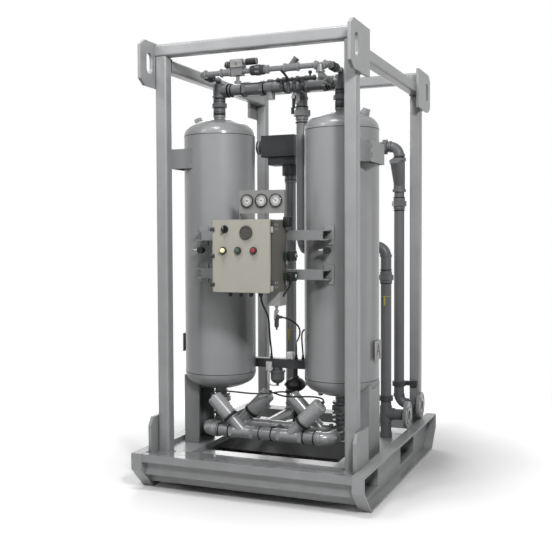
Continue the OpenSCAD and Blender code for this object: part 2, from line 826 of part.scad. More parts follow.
module crossover_pipes() {
  separator_back = feed_y + 60;
  color("darkgray") {
    translate([drop_x, 0, outlet_z]) {
      cyl_y(drop_y + elbow_r, outlet_y - elbow_r, pipe_d);
      translate([0, outlet_y, 0]) rotate([0, 0, -90]) elbow(elbow_r, pipe_d, fitting_d);
      translate([0, outlet_y, 0]) cyl_x(elbow_r, outlet_x - drop_x - elbow_r, pipe_d);
    }
    translate([-feed_x, 0, inlet_z]) {
      translate([0, inlet_y, 0]) rotate([0, 0, -90]) elbow(elbow_r, pipe_d, fitting_d);
      translate([0, inlet_y, 0]) cyl_x(elbow_r, inlet_x + feed_x - elbow_r, pipe_d);
      translate([inlet_x + feed_x - 72, inlet_y, 0]) hex_x(-28, 0, union_d);
      cyl_y(separator_back, inlet_y - elbow_r, pipe_d);
    }
  }
}
// Elbow or tee port that carries a flange
module flange_port(x) {
  difference() {
    children();
    cyl_x(x, flange_back + eps, pipe_bore);
  }
}
module riser_outlet() {
  color("darkgray") translate([outlet_x, outlet_y, 0]) {
    translate([0, 0, outlet_z]) rotate([-90, 0, 180]) elbow(elbow_r, pipe_d, fitting_d);
    cyl_z(fork_top, outlet_z - elbow_r, pipe_d);
    cyl_z(fork_top, fork_top + 30, fitting_d);
    translate([0, 0, outlet_z - 190]) {
      cyl_z(-16, 48, fitting_d);
      hex_z(0, 30, union_d);
    }
    translate([-outlet_x, 0, flange_z]) flange_port(outlet_x + pipe_d / 2 + 4) {
      translate([outlet_x, 0, 0]) cyl_z(-tee_half - 10, tee_half + 10, fitting_d);
      cyl_x(outlet_x, outlet_x + tee_half + 12, fitting_d);
      cyl_x(outlet_x, flange_back, pipe_d);
    }
  }
}
module riser_inlet() {
  strain_z = inlet_z - 272;
  color("darkgray") translate([inlet_x, inlet_y, 0]) {
    translate([0, 0, inlet_z]) rotate([-90, 0, 180]) elbow(elbow_r, pipe_d, fitting_d);
    cyl_z(flange_z + elbow_r, inlet_z - elbow_r, pipe_d);
    translate([0, 0, strain_z - 85]) {
      cyl_z(-16, 48, fitting_d);
      hex_z(0, 30, union_d);
    }
    translate([0, 0, strain_z]) {
      cyl_z(0, 200, fitting_d);
      cyl_z(0, 16, union_d - 8);
      cyl_z(184, 200, union_d - 8);
      translate([0, 0, 40]) rotate([35, 0, 0]) {
        cyl_z(0, 150, 62);
        hex_z(150, 172, 72);
      }
    }
    translate([0, 0, flange_z]) rotate([90, 0, 0]) elbow(elbow_r, pipe_d, fitting_d);
    translate([-inlet_x, 0, flange_z]) flange_port(inlet_x + elbow_r + 2)
      cyl_x(inlet_x + elbow_r, flange_back, pipe_d);
  }
}
module flange_at(p) {
  translate([0, p[1], flange_z]) difference() {
    union() {
      cyl_x(flange_back, flange_face - 2, flange_d);
      cyl_x(flange_back, flange_face, 92);
    }
    cyl_x(flange_back - eps, flange_face + eps, pipe_bore);
    for (i = [0 : 3]) rotate([45 + 90 * i, 0, 0]) translate([0, flange_pcd / 2, 0])
      cyl_x(flange_back - eps, flange_face + eps, flange_hole);
  }
}
module pipe_flanges() { color("darkgray") for (p = [[outlet_x, outlet_y], [inlet_x, inlet_y]]) flange_at(p); }
module pipe_clamps() {
  clamp_h = 26;
  post_face = py - tube;
  color("dimgray") {
    translate([outlet_x, outlet_y, flange_z + 76]) difference() {
      cyl_z(0, clamp_h, pipe_d + 20);
      cyl_z(-eps, clamp_h + eps, pipe_d + 2 * cope);
    }
    translate([inlet_x, inlet_y, flange_z + 108]) difference() {
      union() {
        cyl_z(0, clamp_h, pipe_d + 20);
        span([0, 20, 0], [px - inlet_x - 12, post_face - inlet_y, clamp_h]);
      }
      cyl_z(-eps, clamp_h + eps, pipe_d + 2 * cope);
    }
  }
}
module inlet_separator() {
  body_z = inlet_z - 85;
  body_h = 120;
  round_r = 41;
  left = -feed_x - 157;
  right = -feed_x + 45;
  color("black") {
    span([left, feed_y - 60, body_z], [right, feed_y + 60, body_z + body_h]);
    translate([left, feed_y, body_z + body_h / 2]) cyl_x(-round_r, 0, 2 * round_r);
    span([left + 39, feed_y - 50, body_z - 47], [right, feed_y + 50, body_z]);
    translate([-feed_x, feed_y, 0]) cyl_z(body_z - 107, body_z - 47, 95);
  }
}
module inlet_drop() {
  top = inlet_z - 192;
  color("darkgray") translate([-feed_x, feed_y, 0]) {
    cyl_z(header_z + elbow_r, top, pipe_d);
    cyl_z(top - 40, top, fitting_d);
    translate([0, 0, header_z]) rotate([90, 0, -90]) elbow(elbow_r, pipe_d, fitting_d);
    translate([0, 0, header_z]) cyl_y(ty + tee_half - feed_y, -elbow_r, pipe_d);
  }
}

// Lower piping
module bottom_fittings() {
  color("darkgray") both() translate([tower_x, ty, 0]) {
    translate([0, 0, nozzle_lo]) mirror([0, 0, 1]) stack(nozzle_lo - header_z - tee_half);
    translate([0, 0, header_z]) {
      cyl_z(-tee_half - 4, tee_half, fitting_d + 2);
      cyl_x(-tee_half, 0, fitting_d);
      cyl_y(-header_reach + elbow_r, 0, pipe_d);
      cyl_y(-tee_half - 12, 0, fitting_d);
      translate([0, -header_reach, 0]) rotate([0, 0, 90]) elbow(elbow_r, pipe_d + 4, fitting_d + 4);
    }
  }
}
module lower_headers() {
  front_in = front_valve_x - valve_half;
  front_out = front_valve_x + lean_half;
  rear_out = rear_valve_x + valve_half;
  color("darkgray") {
    translate([0, front_y, header_z]) {
      cyl_x(-front_in, front_in, pipe_d);
      for (x = [-front_in, front_in - 14]) cyl_x(x, x + 14, fitting_d - 2);
      translate([silencer_x, 0, 0]) cyl_y(0, 45, boss_d + 10);
      both() {
        cyl_x(front_out, tower_x - elbow_r, pipe_d);
        cyl_x(tower_x - elbow_r - 14, tower_x - elbow_r, fitting_d + 4);
      }
    }
    translate([0, ty, header_z]) {
      cyl_x(-rear_half, rear_half, pipe_d);
      translate([-feed_x, 0, 0]) {
        cyl_x(-tee_half, tee_half, fitting_d);
        cyl_y(0, tee_half, port_d);
      }
      translate([drain_x, 0, 0]) cyl_y(0, 45, boss_d);
      both() cyl_x(rear_out, tower_x - tee_half, pipe_d);
    }
  }
}
// Places of the angle valves as [x, y, lean]
valve_places = [[-front_valve_x, front_y, -1], [front_valve_x, front_y, 1],
  [-rear_valve_x, ty, 1], [rear_valve_x, ty, -1]];
module angle_valves() {
  valve_nut = 18;
  color("darkgray") for (v = valve_places) translate([v[0], v[1], header_z]) {
    mirror([v[2] < 0 ? 1 : 0, 0, 0]) {
      cyl_x(-valve_half, lean_half, pipe_d + 4);
      hex_x(-valve_half, -valve_half + valve_nut, pipe_d + 14);
      hex_x(lean_half - valve_nut, lean_half, pipe_d + 14);
      rotate([0, 45, 0]) cyl_z(0, neck_l, pipe_d - 2);
    }
  }
}
module valve_actuators() {
  color("silver") for (v = valve_places) translate([v[0], v[1], header_z]) rotate([0, 45 * v[2], 0]) {
    cyl_z(neck_l, neck_l + 20, actuator_d);
    cyl_z(neck_l + 20, neck_l + 24, actuator_d - 6);
    cyl_z(neck_l + 24, neck_l + 16 + actuator_l, actuator_d);
    translate([0, 0, neck_l + 16 + actuator_l]) cylinder(d1 = actuator_d, d2 = actuator_d - 10, h = 5);
    cyl_z(neck_l + 20 + actuator_l, neck_l + 30 + actuator_l, 22);
  }
}
module diaphragm_valve() {
  mid = header_z + 208;
  half = 57;
  color("black") translate([drain_x, tie_y, 0]) {
    translate([0, 0, mid - 4]) cylinder(d = 2 * half + 8, h = 8);
    for (s = [0, 1]) translate([0, 0, mid]) mirror([0, 0, s]) translate([0, 0, 4]) {
      dome(half, 36);
      hex_z(0, 42, 40);
    }
    cyl_z(mid + 40, tie_z, 24);
    cyl_z(header_z + purge_r, mid - 40, purge_d);
    translate([0, 0, header_z]) rotate([90, 0, -90]) elbow(purge_r, purge_d, purge_d + 7);
    translate([0, 0, header_z]) cyl_y(ty + 45 - tie_y, -purge_r, purge_d);
  }
}
module drain_bowl() {
  bowl_d = 84;
  color("gray") translate([bowl_x, tie_y, tie_z]) {
    cyl_z(-16, 0, 56);
    cyl_z(-28, -16, bowl_d);
    cyl_z(-64, -28, bowl_d - 8);
    translate([0, 0, -64]) mirror([0, 0, 1]) dome(bowl_d / 2 - 4, 26);
    cyl_z(-102, -80, 16);
  }
}
module exhaust_silencer() {
  color("dimgray") translate([silencer_x, front_y, header_z]) {
    cyl_y(45, 55, boss_d);
    cyl_y(55, 120, 60);
    cyl_y(120, 128, 44);
  }
}

skid_rail_left();
skid_rail_right();
front_cross_member();
rear_cross_member();
tower_sills();
fork_tubes();
post_front_left();
post_front_right();
post_rear_left();
post_rear_right();
end_beams();
side_beams();
lifting_lugs();
post_gussets();
tower_left();
tower_right();
tower_legs();
desiccant_beds();
bed_screens();
fill_plugs();
side_brackets();
tie_bar();
control_struts();
enclosure_box();
enclosure_door();
door_gasket();
controller_plate();
selector_knob();
pilot_lamp();
start_button();
stop_button();
button_collars();
alarm_horn();
gauge_panel();
pressure_gauges();
solenoid_valves();
junction_box();
pilot_regulator();
sample_valves();
top_fittings();
upper_manifold();
purge_line();
purge_valve();
ball_valve();
valve_lever();
outlet_drop();
crossover_pipes();
riser_outlet();
riser_inlet();
pipe_flanges();
pipe_clamps();
inlet_separator();
inlet_drop();
bottom_fittings();
lower_headers();
angle_valves();
valve_actuators();
diaphragm_valve();
drain_bowl();
exhaust_silencer();
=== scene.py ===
"""Looks of a twin tower desiccant air dryer on its skid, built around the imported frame."""

import logging
import math
from dataclasses import dataclass
from enum import Enum
from typing import Sequence

import bmesh
import bpy
from mathutils import Matrix, Vector


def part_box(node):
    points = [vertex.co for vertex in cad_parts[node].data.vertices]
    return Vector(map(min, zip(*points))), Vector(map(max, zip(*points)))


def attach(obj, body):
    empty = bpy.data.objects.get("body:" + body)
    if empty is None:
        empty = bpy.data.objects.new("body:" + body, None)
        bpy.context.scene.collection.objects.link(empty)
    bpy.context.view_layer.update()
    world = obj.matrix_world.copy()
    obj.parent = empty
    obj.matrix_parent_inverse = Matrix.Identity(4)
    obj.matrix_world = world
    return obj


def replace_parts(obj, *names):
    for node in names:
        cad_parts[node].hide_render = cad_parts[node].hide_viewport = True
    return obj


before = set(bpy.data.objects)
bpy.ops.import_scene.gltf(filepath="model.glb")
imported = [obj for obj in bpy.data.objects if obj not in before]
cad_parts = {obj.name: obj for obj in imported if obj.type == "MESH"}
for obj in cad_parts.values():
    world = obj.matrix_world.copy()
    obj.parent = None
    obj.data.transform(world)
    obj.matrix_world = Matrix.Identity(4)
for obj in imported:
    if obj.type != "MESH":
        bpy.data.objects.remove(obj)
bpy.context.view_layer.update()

LOG = logging.getLogger("dryer")
# Points closer than this become one, and edges that turn more than this stay sharp.
MERGE = 1e-6
SHARP = math.radians(35)
# Towards -X or the front, and towards +X or the back.
SIDES = (-1, 1)
PLAIN_WHITE = (1.0, 1.0, 1.0, 1.0)
Point = tuple[float, float, float]
Colour = tuple[float, float, float]
# Radius and height of each point of a turned shape.
Profile = tuple[tuple[float, float], ...]


class Body(Enum):
    """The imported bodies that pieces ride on."""

    BASE = "base"
    DOOR = "door"
    SELECTOR = "selector"
    START = "start"
    STOP = "stop"


class Axis(Enum):
    """Directions that fittings point along."""

    RIGHT = (1.0, 0.0, 0.0)
    LEFT = (-1.0, 0.0, 0.0)
    BACK = (0.0, 1.0, 0.0)
    FRONT = (0.0, -1.0, 0.0)
    UP = (0.0, 0.0, 1.0)
    DOWN = (0.0, 0.0, -1.0)


Direction = Axis | Vector


def linear(red: int, green: int, blue: int) -> Colour:
    """Turns a display colour into scene values.

    Args:
        red, green, blue: Channels from 0 to 255.

    Returns:
        The linear colour.
    """
    def channel(value: int) -> float:
        """Decodes one channel."""
        part = value / 255
        return part / 12.92 if part <= 0.04045 else ((part + 0.055) / 1.055) ** 2.4

    return channel(red), channel(green), channel(blue)


class Wiring:
    """The node tree of a material or of the world while it is being wired."""

    def __init__(self, owner: bpy.types.Material | bpy.types.World) -> None:
        """Turns the owner's nodes on.

        Args:
            owner: What the nodes belong to.
        """
        owner.use_nodes = True
        self.nodes, self.links = owner.node_tree.nodes, owner.node_tree.links

    def fill(self, node: bpy.types.Node, values: dict[str, float | Sequence[float]]) -> None:
        """Sets a node's own sockets.

        Args:
            node: The node.
            values: What each named socket holds.
        """
        for name, value in values.items():
            node.inputs[name].default_value = value

    def add(self, kind: str, values: dict[str, float | Sequence[float]] | None = None) -> bpy.types.Node:
        """Adds a node.

        Args:
            kind: The node's type, without the word that all shader nodes start with.
            values: What each named socket holds, or None.

        Returns:
            The node.
        """
        made = self.nodes.new(f"ShaderNode{kind}")
        self.fill(made, values or {})
        return made

    def maths(self, operation: str, first: bpy.types.NodeSocket,
               second: bpy.types.NodeSocket) -> bpy.types.NodeSocket:
        """Adds a maths node for two values.

        Args:
            operation: What is done with them.
            first, second: The sockets that give them.

        Returns:
            The result's socket.
        """
        made = self.add("Math")
        made.operation = operation
        self.join(first, made.inputs[0])
        self.join(second, made.inputs[1])
        return made.outputs[0]

    def join(self, source: bpy.types.NodeSocket, target: bpy.types.NodeSocket) -> None:
        """Links one socket to another."""
        self.links.new(source, target)


@dataclass(frozen=True)
class Finish:
    """A surface: its colour, gloss, grain, softly rounded edges and the painted shade that darkens its corners.
    """

    name: str
    slot: str
    colour: Colour
    roughness: float
    metallic: float = 0.0
    mottle: float = 0.06
    mottle_size: float = 9.0
    mottle_span: tuple[float, float] = (0.3, 0.7)
    mottle_detail: float = 6.0
    grain: float = 0.06
    grain_size: float = 900.0
    grain_depth: float = 0.001
    grain_detail: float = 3.0
    # Painted shade: how much ambient occlusion darkens corners and crevices, how far it looks, and its ramp.
    corner_shade: float = 0.35
    corner_shade_reach: float = 0.05
    corner_shade_span: tuple[float, float] = (0.25, 0.85)
    edge: float = 0.0015
    samples: int = 4
    coat: float = 0.0
    coat_roughness: float = 0.12
    rub: float = 0.025
    rub_scale: float = 4.0
    rub_detail: float = 4.0
    smoothest: float = 0.02
    shine: float = 0.36
    clear: float = 0.0
    glow: float = 0.0

    def material(self) -> bpy.types.Material:
        """Makes the node material once, and gives the same one again afterwards.

        Returns:
            The material.
        """
        title = f"{self.name}_finish"
        known = bpy.data.materials.get(title)
        if known:
            return known
        made = bpy.data.materials.new(title)
        tree = Wiring(made)
        shader = tree.nodes["Principled BSDF"]
        place = tree.add("TexCoord").outputs["Object"]
        tree.join(self._tint(tree, place), shader.inputs["Base Color"])
        tree.join(self._gloss(tree, place), shader.inputs["Roughness"])
        tree.join(self._relief(tree, place), shader.inputs["Normal"])
        tree.fill(shader, {
            "Metallic": self.metallic, "Specular IOR Level": self.shine, "Coat Weight": self.coat,
            "Coat Roughness": self.coat_roughness, "Transmission Weight": self.clear,
            "Emission Color": (*self.colour, 1.0), "Emission Strength": self.glow})
        return made

    def _noise(self, tree: Wiring, place: bpy.types.NodeSocket, size: float,
               detail: float) -> bpy.types.NodeSocket:
        """Adds a noise texture.

        Args:
            tree: The material's nodes.
            place: The socket that gives the coordinates.
            size: Noise cells per metre.
            detail: Octaves.

        Returns:
            The noise's factor socket.
        """
        noise = tree.add("TexNoise", {"Scale": size, "Detail": detail})
        tree.join(place, noise.inputs["Vector"])
        return noise.outputs["Fac"]

    def _tint(self, tree: Wiring, place: bpy.types.NodeSocket) -> bpy.types.NodeSocket:
        """Varies the colour over the surface and darkens its corners with painted shade from ambient occlusion.

        Args:
            tree: The material's nodes.
            place: The socket that gives the coordinates.

        Returns:
            The colour socket.
        """
        ramp = tree.add("ValToRGB")
        low, high = ramp.color_ramp.elements
        low.position, high.position = self.mottle_span
        low.color = (*(c * (1 - self.mottle) for c in self.colour), 1.0)
        high.color = (*(min(1.0, c * (1 + self.mottle)) for c in self.colour), 1.0)
        tree.join(self._noise(tree, place, self.mottle_size, self.mottle_detail), ramp.inputs["Fac"])
        # Painted shade: ambient occlusion darkens the colour where corners and crevices hold shade.
        corner = tree.add("AmbientOcclusion", {"Distance": self.corner_shade_reach})
        corner.samples = self.samples
        reach = tree.add("MapRange", {"From Min": self.corner_shade_span[0], "From Max": self.corner_shade_span[1]})
        tree.join(corner.outputs["AO"], reach.inputs["Value"])
        mix = tree.add("Mix")
        mix.data_type = "RGBA"
        shaded, unshaded = (next(s for s in mix.inputs if s.type == "RGBA" and s.name == side) for side in "AB")
        shaded.default_value = (*(c * (1 - self.corner_shade) for c in self.colour), 1.0)
        tree.join(ramp.outputs["Color"], unshaded)
        tree.join(reach.outputs["Result"], mix.inputs["Factor"])
        return next(s for s in mix.outputs if s.type == "RGBA")

    def _gloss(self, tree: Wiring, place: bpy.types.NodeSocket) -> bpy.types.NodeSocket:
        """Varies the roughness, as rubbed paint and metal do.

        Args:
            tree: The material's nodes.
            place: The socket that gives the coordinates.

        Returns:
            The roughness socket.
        """
        spread = tree.add("MapRange", {"To Min": max(self.smoothest, self.roughness - self.rub),
                                       "To Max": min(1.0, self.roughness + self.rub)})
        size = self.mottle_size * self.rub_scale
        tree.join(self._noise(tree, place, size, self.rub_detail), spread.inputs["Value"])
        return spread.outputs["Result"]

    def _relief(self, tree: Wiring, place: bpy.types.NodeSocket) -> bpy.types.NodeSocket:
        """Gives the surface its fine grain over softly rounded edges.

        Args:
            tree: The material's nodes.
            place: The socket that gives the coordinates.

        Returns:
            The normal socket.
        """
        round_off = tree.add("Bevel", {"Radius": self.edge})
        round_off.samples = self.samples
        bump = tree.add("Bump", {"Strength": self.grain, "Distance": self.grain_depth})
        height = self._noise(tree, place, self.grain_size, self.grain_detail)
        tree.join(height, bump.inputs["Height"])
        tree.join(round_off.outputs["Normal"], bump.inputs["Normal"])
        return bump.outputs["Normal"]


FRAME_PAINT = Finish("frame_paint", "frame_paint", linear(154, 155, 156), 0.36, edge=0.003, coat=0.3)
DECK_PAINT = Finish("deck_paint", "frame_paint", linear(140, 141, 142), 0.1, edge=0.004, coat=1.0, mottle=0.08)
TOWER_PAINT = Finish("tower_paint", "tower_paint", linear(146, 147, 148), 0.34, coat=0.4, mottle=0.03, grain=0.03)
# Painted shade: a darker copy of the tower paint, used on the legs, side brackets and control struts.
SHADED_LEG_PAINT = Finish("shaded_leg_paint", "tower_paint", linear(130, 131, 132), 0.38, edge=0.002, coat=0.2)
PIPE_PAINT = Finish("pipe_paint", "pipe_paint", linear(132, 133, 135), 0.3, grain=0.1, coat=0.4)
# Painted shade: a darker copy of the pipe paint, for the risers, crossovers, tower-top fittings and drain bowl.
SHADED_PIPE_PAINT = Finish("shaded_pipe_paint", "pipe_paint", linear(104, 105, 107), 0.4, grain=0.12)
FITTING_PAINT = Finish("fitting_paint", "pipe_paint", linear(146, 147, 148), 0.28, metallic=0.15,
                       grain=0.14, coat=0.4)
DARK_CASTING = Finish("dark_casting", "dark_metal", linear(64, 65, 67), 0.46, grain=0.3, grain_size=500)
ACTUATOR_PAINT = Finish("actuator_paint", "bright_metal", linear(158, 159, 160), 0.28, metallic=0.1, coat=0.3)
SILVER = Finish("silver", "bright_metal", linear(168, 169, 171), 0.3, metallic=0.5, grain=0.03)
DOOR_PAINT = Finish("door_paint", "enclosure_paint", linear(176, 174, 163), 0.4, edge=0.007, mottle=0.025)
# Painted shade: a darker copy of the enclosure paint on the box, for its shaded sides.
SHADED_BOX_PAINT = Finish("shaded_box_paint", "enclosure_paint", linear(112, 110, 103), 0.42, edge=0.004, mottle=0.03)
PANEL_PAINT = Finish("panel_paint", "gauge_case", linear(168, 168, 167), 0.42)
COVER_PAINT = Finish("cover_paint", "gauge_case", linear(206, 206, 204), 0.4)
GAUGE_PLATE = Finish("gauge_plate", "gauge_case", linear(142, 142, 141), 0.4)
DIAL = Finish("dial", "white_plastic", linear(186, 187, 185), 0.5, corner_shade=0.15)
HORN_FACE = Finish("horn_face", "black_plastic", linear(84, 82, 78), 0.5, grain=0.2)
BEZEL = Finish("bezel", "black_plastic", linear(52, 53, 55), 0.35, grain=0.05)
BLACK = Finish("black_plastic", "black_plastic", linear(26, 26, 28), 0.42, grain=0.12)
RUBBER = Finish("gasket_rubber", "gasket_rubber", linear(18, 18, 19), 0.7, grain=0.2, grain_size=1500)
TUBE = Finish("pilot_tube", "black_plastic", linear(22, 22, 23), 0.36, grain=0.04)
# Painted shade: the tower paint made dark for the joint grooves between heads and shells.
SEAM_SHADE = Finish("seam_groove_shade", "tower_paint", linear(66, 67, 68), 0.6, corner_shade=0.1)
WHITE = Finish("white_plastic", "white_plastic", linear(232, 232, 230), 0.5, corner_shade=0.15)
LENS = Finish("lamp_lens", "lamp_lens", linear(246, 236, 190), 0.22, corner_shade=0.1, glow=0.25)
GREEN = Finish("green_plastic", "green_plastic", linear(78, 100, 86), 0.3)
RED = Finish("red_plastic", "red_plastic", linear(166, 64, 74), 0.3)
COIL = Finish("coil_plastic", "coil_plastic", linear(34, 48, 38), 0.5, grain=0.2)
BEADS = Finish("bead_fill", "bead_fill", linear(222, 214, 196), 0.8, grain=0.9, grain_size=300)
TAG = Finish("tag", "white_plastic", linear(190, 178, 92), 0.5)
GLASS = Finish("gauge_glass", "white_plastic", (1.0, 1.0, 1.0), 0.04, mottle=0.0, grain=0.0, corner_shade=0.0, clear=1.0)

NODE_FINISHES: dict[Finish, tuple[str, ...]] = {
    FRAME_PAINT: (
        "skid_rail_left", "skid_rail_right", "rear_cross_member", "tower_sills",
        "fork_tubes", "post_front_left", "post_front_right", "post_rear_left", "post_rear_right",
        "end_beams", "side_beams", "lifting_lugs", "post_gussets"),
    TOWER_PAINT: ("tower_left", "tower_right", "fill_plugs"),
    SHADED_LEG_PAINT: ("tower_legs", "side_brackets", "control_struts"),
    PIPE_PAINT: ("upper_manifold", "purge_line", "outlet_drop", "inlet_drop", "lower_headers"),
    SHADED_PIPE_PAINT: ("crossover_pipes", "riser_outlet", "riser_inlet", "top_fittings", "drain_bowl"),
    FITTING_PAINT: ("bottom_fittings", "angle_valves", "pipe_flanges"),
    ACTUATOR_PAINT: ("valve_actuators",),
    SILVER: ("ball_valve", "pilot_regulator"),
    DOOR_PAINT: ("enclosure_door",),
    SHADED_BOX_PAINT: ("enclosure_box",),
    GAUGE_PLATE: ("gauge_panel",),
    PANEL_PAINT: ("junction_box",),
    COVER_PAINT: ("purge_valve",),
    BEZEL: ("pressure_gauges", "button_collars"),
    HORN_FACE: ("alarm_horn",),
    BLACK: ("selector_knob", "diaphragm_valve", "valve_lever", "sample_valves"),
    DECK_PAINT: ("front_cross_member",),
    RUBBER: ("door_gasket",),
    WHITE: ("controller_plate",),
    LENS: ("pilot_lamp",),
    GREEN: ("start_button",),
    RED: ("stop_button",),
    COIL: ("solenoid_valves",),
    BEADS: ("desiccant_beds",),
    DARK_CASTING: ("inlet_separator", "exhaust_silencer", "pipe_clamps", "bed_screens", "tie_bar"),
}


def aim(centre: Sequence[float], direction: Direction) -> Matrix:
    """Turns +Z to a direction and moves the origin to a point.

    Args:
        centre: Where the origin goes.
        direction: Where +Z points.

    Returns:
        The matrix.
    """
    turn = Vector(Axis.UP.value).rotation_difference(heading(direction))
    return Matrix.Translation(centre) @ turn.to_matrix().to_4x4()


def heading(direction: Direction) -> Vector:
    """Gives a named axis or a free direction as a vector."""
    return Vector(direction.value) if isinstance(direction, Axis) else direction


def shifted(place: Sequence[float], step: Sequence[float]) -> Point:
    """Gives the point that lies a step away from a place."""
    return tuple(start + way for start, way in zip(place, step))


def meshed(line: bpy.types.Curve) -> bmesh.types.BMesh:
    """Turns a curve or a text into a mesh, and removes it.

    Args:
        line: The curve's or the text's data.

    Returns:
        The mesh, with its doubles merged.
    """
    holder = bpy.data.objects.new(line.name, line)
    mesh = bpy.data.meshes.new_from_object(holder)
    made = bmesh.new()
    made.from_mesh(mesh)
    bmesh.ops.remove_doubles(made, verts=made.verts, dist=MERGE)
    bpy.data.objects.remove(holder)
    bpy.data.curves.remove(line)
    bpy.data.meshes.remove(mesh)
    return made


class Mould:
    """One piece's mesh while it is being built."""

    # Shares of the size over a nut's or a bolt head's corners.
    NUT_SOFT = 0.07
    WASHER_RADIUS = 0.62
    WASHER_THICK = 0.12
    HEAD_HEIGHT = 0.45
    # A weld's beads: their distance in radii, and how their size swells along the seam.
    BEAD_PITCH = 1.1
    BEAD_SWELL = (0.08, 0.05)
    BEAD_RATE = (2.4, 0.7)

    def __init__(self, name: str, finish: Finish, body: Body = Body.BASE) -> None:
        """Starts an empty piece.

        Args:
            name: The piece's name.
            finish: Its surface.
            body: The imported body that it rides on.
        """
        self.name, self.finish, self.body = name, finish, body
        self.mesh = bmesh.new()

    def take(self, made: bmesh.types.BMesh) -> None:
        """Moves a shape's mesh into the piece.

        Args:
            made: The shape, which is freed.
        """
        bmesh.ops.recalc_face_normals(made, faces=made.faces)
        scratch = bpy.data.meshes.new("scratch")
        made.to_mesh(scratch)
        made.free()
        self.mesh.from_mesh(scratch)
        bpy.data.meshes.remove(scratch)

    def turned(self, profile: Profile, centre: Sequence[float], direction: Direction = Axis.UP,
               steps: int = 32) -> None:
        """Spins a profile into a round shape.

        Args:
            profile: Radius and height of each point, in metres.
            centre: The place of height 0 on the axis.
            direction: Where the axis points.
            steps: Faces round the axis.
        """
        made = bmesh.new()
        line = [made.verts.new((radius, 0, height)) for radius, height in profile]
        edges = [made.edges.new(pair) for pair in zip(line, line[1:])]
        bmesh.ops.spin(made, geom=line + edges, cent=(0, 0, 0), axis=(0, 0, 1), angle=math.tau,
                       steps=steps, use_merge=True)
        bmesh.ops.remove_doubles(made, verts=made.verts, dist=MERGE)
        bmesh.ops.transform(made, matrix=aim(centre, direction), verts=made.verts)
        self.take(made)

    def ring(self, inner: float, outer: float, low: float, high: float, centre: Sequence[float],
             direction: Direction = Axis.UP, soft: float = 0.0008, steps: int = 32) -> None:
        """Spins a band with softened corners.

        Args:
            inner, outer: Radii.
            low, high: Ends along the axis.
            centre: The place of height 0 on the axis.
            direction: Where the axis points.
            soft: Size of the corners.
            steps: Faces round the axis.
        """
        self.turned(((inner, low), (outer - soft, low), (outer, low + soft), (outer, high - soft),
                     (outer - soft, high), (inner, high), (inner, low)), centre, direction, steps)

    def rod(self, radius: float, low: float, high: float, centre: Sequence[float],
            direction: Direction, steps: int) -> None:
        """Spins a short round bar.

        Args:
            radius: Its radius.
            low, high: Ends along the axis.
            centre: The place of height 0 on the axis.
            direction: Where the axis points.
            steps: Faces round the axis.
        """
        self.turned(((0, low), (radius, low), (radius, high), (0, high)), centre, direction, steps)

    def block(self, low: Sequence[float], high: Sequence[float], soft: float = 0.0015,
              turn: Matrix | None = None) -> None:
        """Adds a block with rounded edges.

        Args:
            low, high: Opposite corners.
            soft: Radius of the edges.
            turn: What is done to the block after it is made, or None.
        """
        made = bmesh.new()
        bmesh.ops.create_cube(made, size=1.0)
        low, high = Vector(low), Vector(high)
        bmesh.ops.scale(made, vec=high - low, verts=made.verts)
        bmesh.ops.translate(made, vec=(low + high) / 2, verts=made.verts)
        bmesh.ops.bevel(made, geom=made.edges[:], offset=soft, offset_type="OFFSET", affect="EDGES",
                        segments=2, profile=0.5, material=-1)
        if turn:
            bmesh.ops.transform(made, matrix=turn, verts=made.verts)
        self.take(made)

    def hexagon(self, across: float, height: float, centre: Sequence[float], direction: Direction) -> None:
        """Adds a hexagon head or nut with softened corners.

        Args:
            across: Size over the corners.
            height: Thickness along the axis.
            centre: The middle of its seat.
            direction: Where it points.
        """
        made = bmesh.new()
        bmesh.ops.create_cone(made, cap_ends=True, segments=6, radius1=across / 2, radius2=across / 2,
                              depth=height)
        bmesh.ops.translate(made, vec=(0, 0, height / 2), verts=made.verts)
        bmesh.ops.bevel(made, geom=made.edges[:], offset=min(across, height) * self.NUT_SOFT,
                        offset_type="OFFSET", affect="EDGES", segments=2, profile=0.5, material=-1)
        bmesh.ops.transform(made, matrix=aim(centre, direction), verts=made.verts)
        self.take(made)

    def bolt(self, across: float, centre: Sequence[float], direction: Direction) -> None:
        """Adds a washer with a hexagon head on it.

        Args:
            across: Size over the head's corners.
            centre: The middle of its seat.
            direction: Where it points.
        """
        thin = across * self.WASHER_THICK
        self.rod(across * self.WASHER_RADIUS, 0, thin, centre, direction, steps=20)
        seat = Vector(centre) + heading(direction).normalized() * thin
        self.hexagon(across, across * self.HEAD_HEIGHT, seat, direction)

    def run(self, points: Sequence[Point], radius: float) -> None:
        """Sweeps a round tube along a smooth line.

        Args:
            points: Control points of the line.
            radius: The tube's radius.
        """
        line = bpy.data.curves.new("run", "CURVE")
        line.dimensions = "3D"
        line.bevel_depth = radius
        line.bevel_resolution = 3
        line.use_fill_caps = True
        spline = line.splines.new("NURBS")
        spline.points.add(len(points) - 1)
        for knot, place in zip(spline.points, points):
            knot.co = (*place, 1.0)
        spline.use_endpoint_u = True
        spline.order_u = 4
        spline.resolution_u = 8
        self.take(meshed(line))

    def weld(self, start: Sequence[float], end: Sequence[float], radius: float) -> None:
        """Lays a weld as a row of overlapping beads.

        Args:
            start, end: The seam's ends.
            radius: Size of a bead.
        """
        start, end = Vector(start), Vector(end)
        count = max(2, round((end - start).length / (radius * self.BEAD_PITCH)))
        (wide, fine), (slow, quick) = self.BEAD_SWELL, self.BEAD_RATE
        for step in range(count + 1):
            place = start.lerp(end, step / count)
            sway = 1.0 + wide * math.sin(step * slow) + fine * math.sin(step * quick)
            bmesh.ops.create_icosphere(self.mesh, subdivisions=1, radius=radius * sway,
                                       matrix=Matrix.Translation(place))

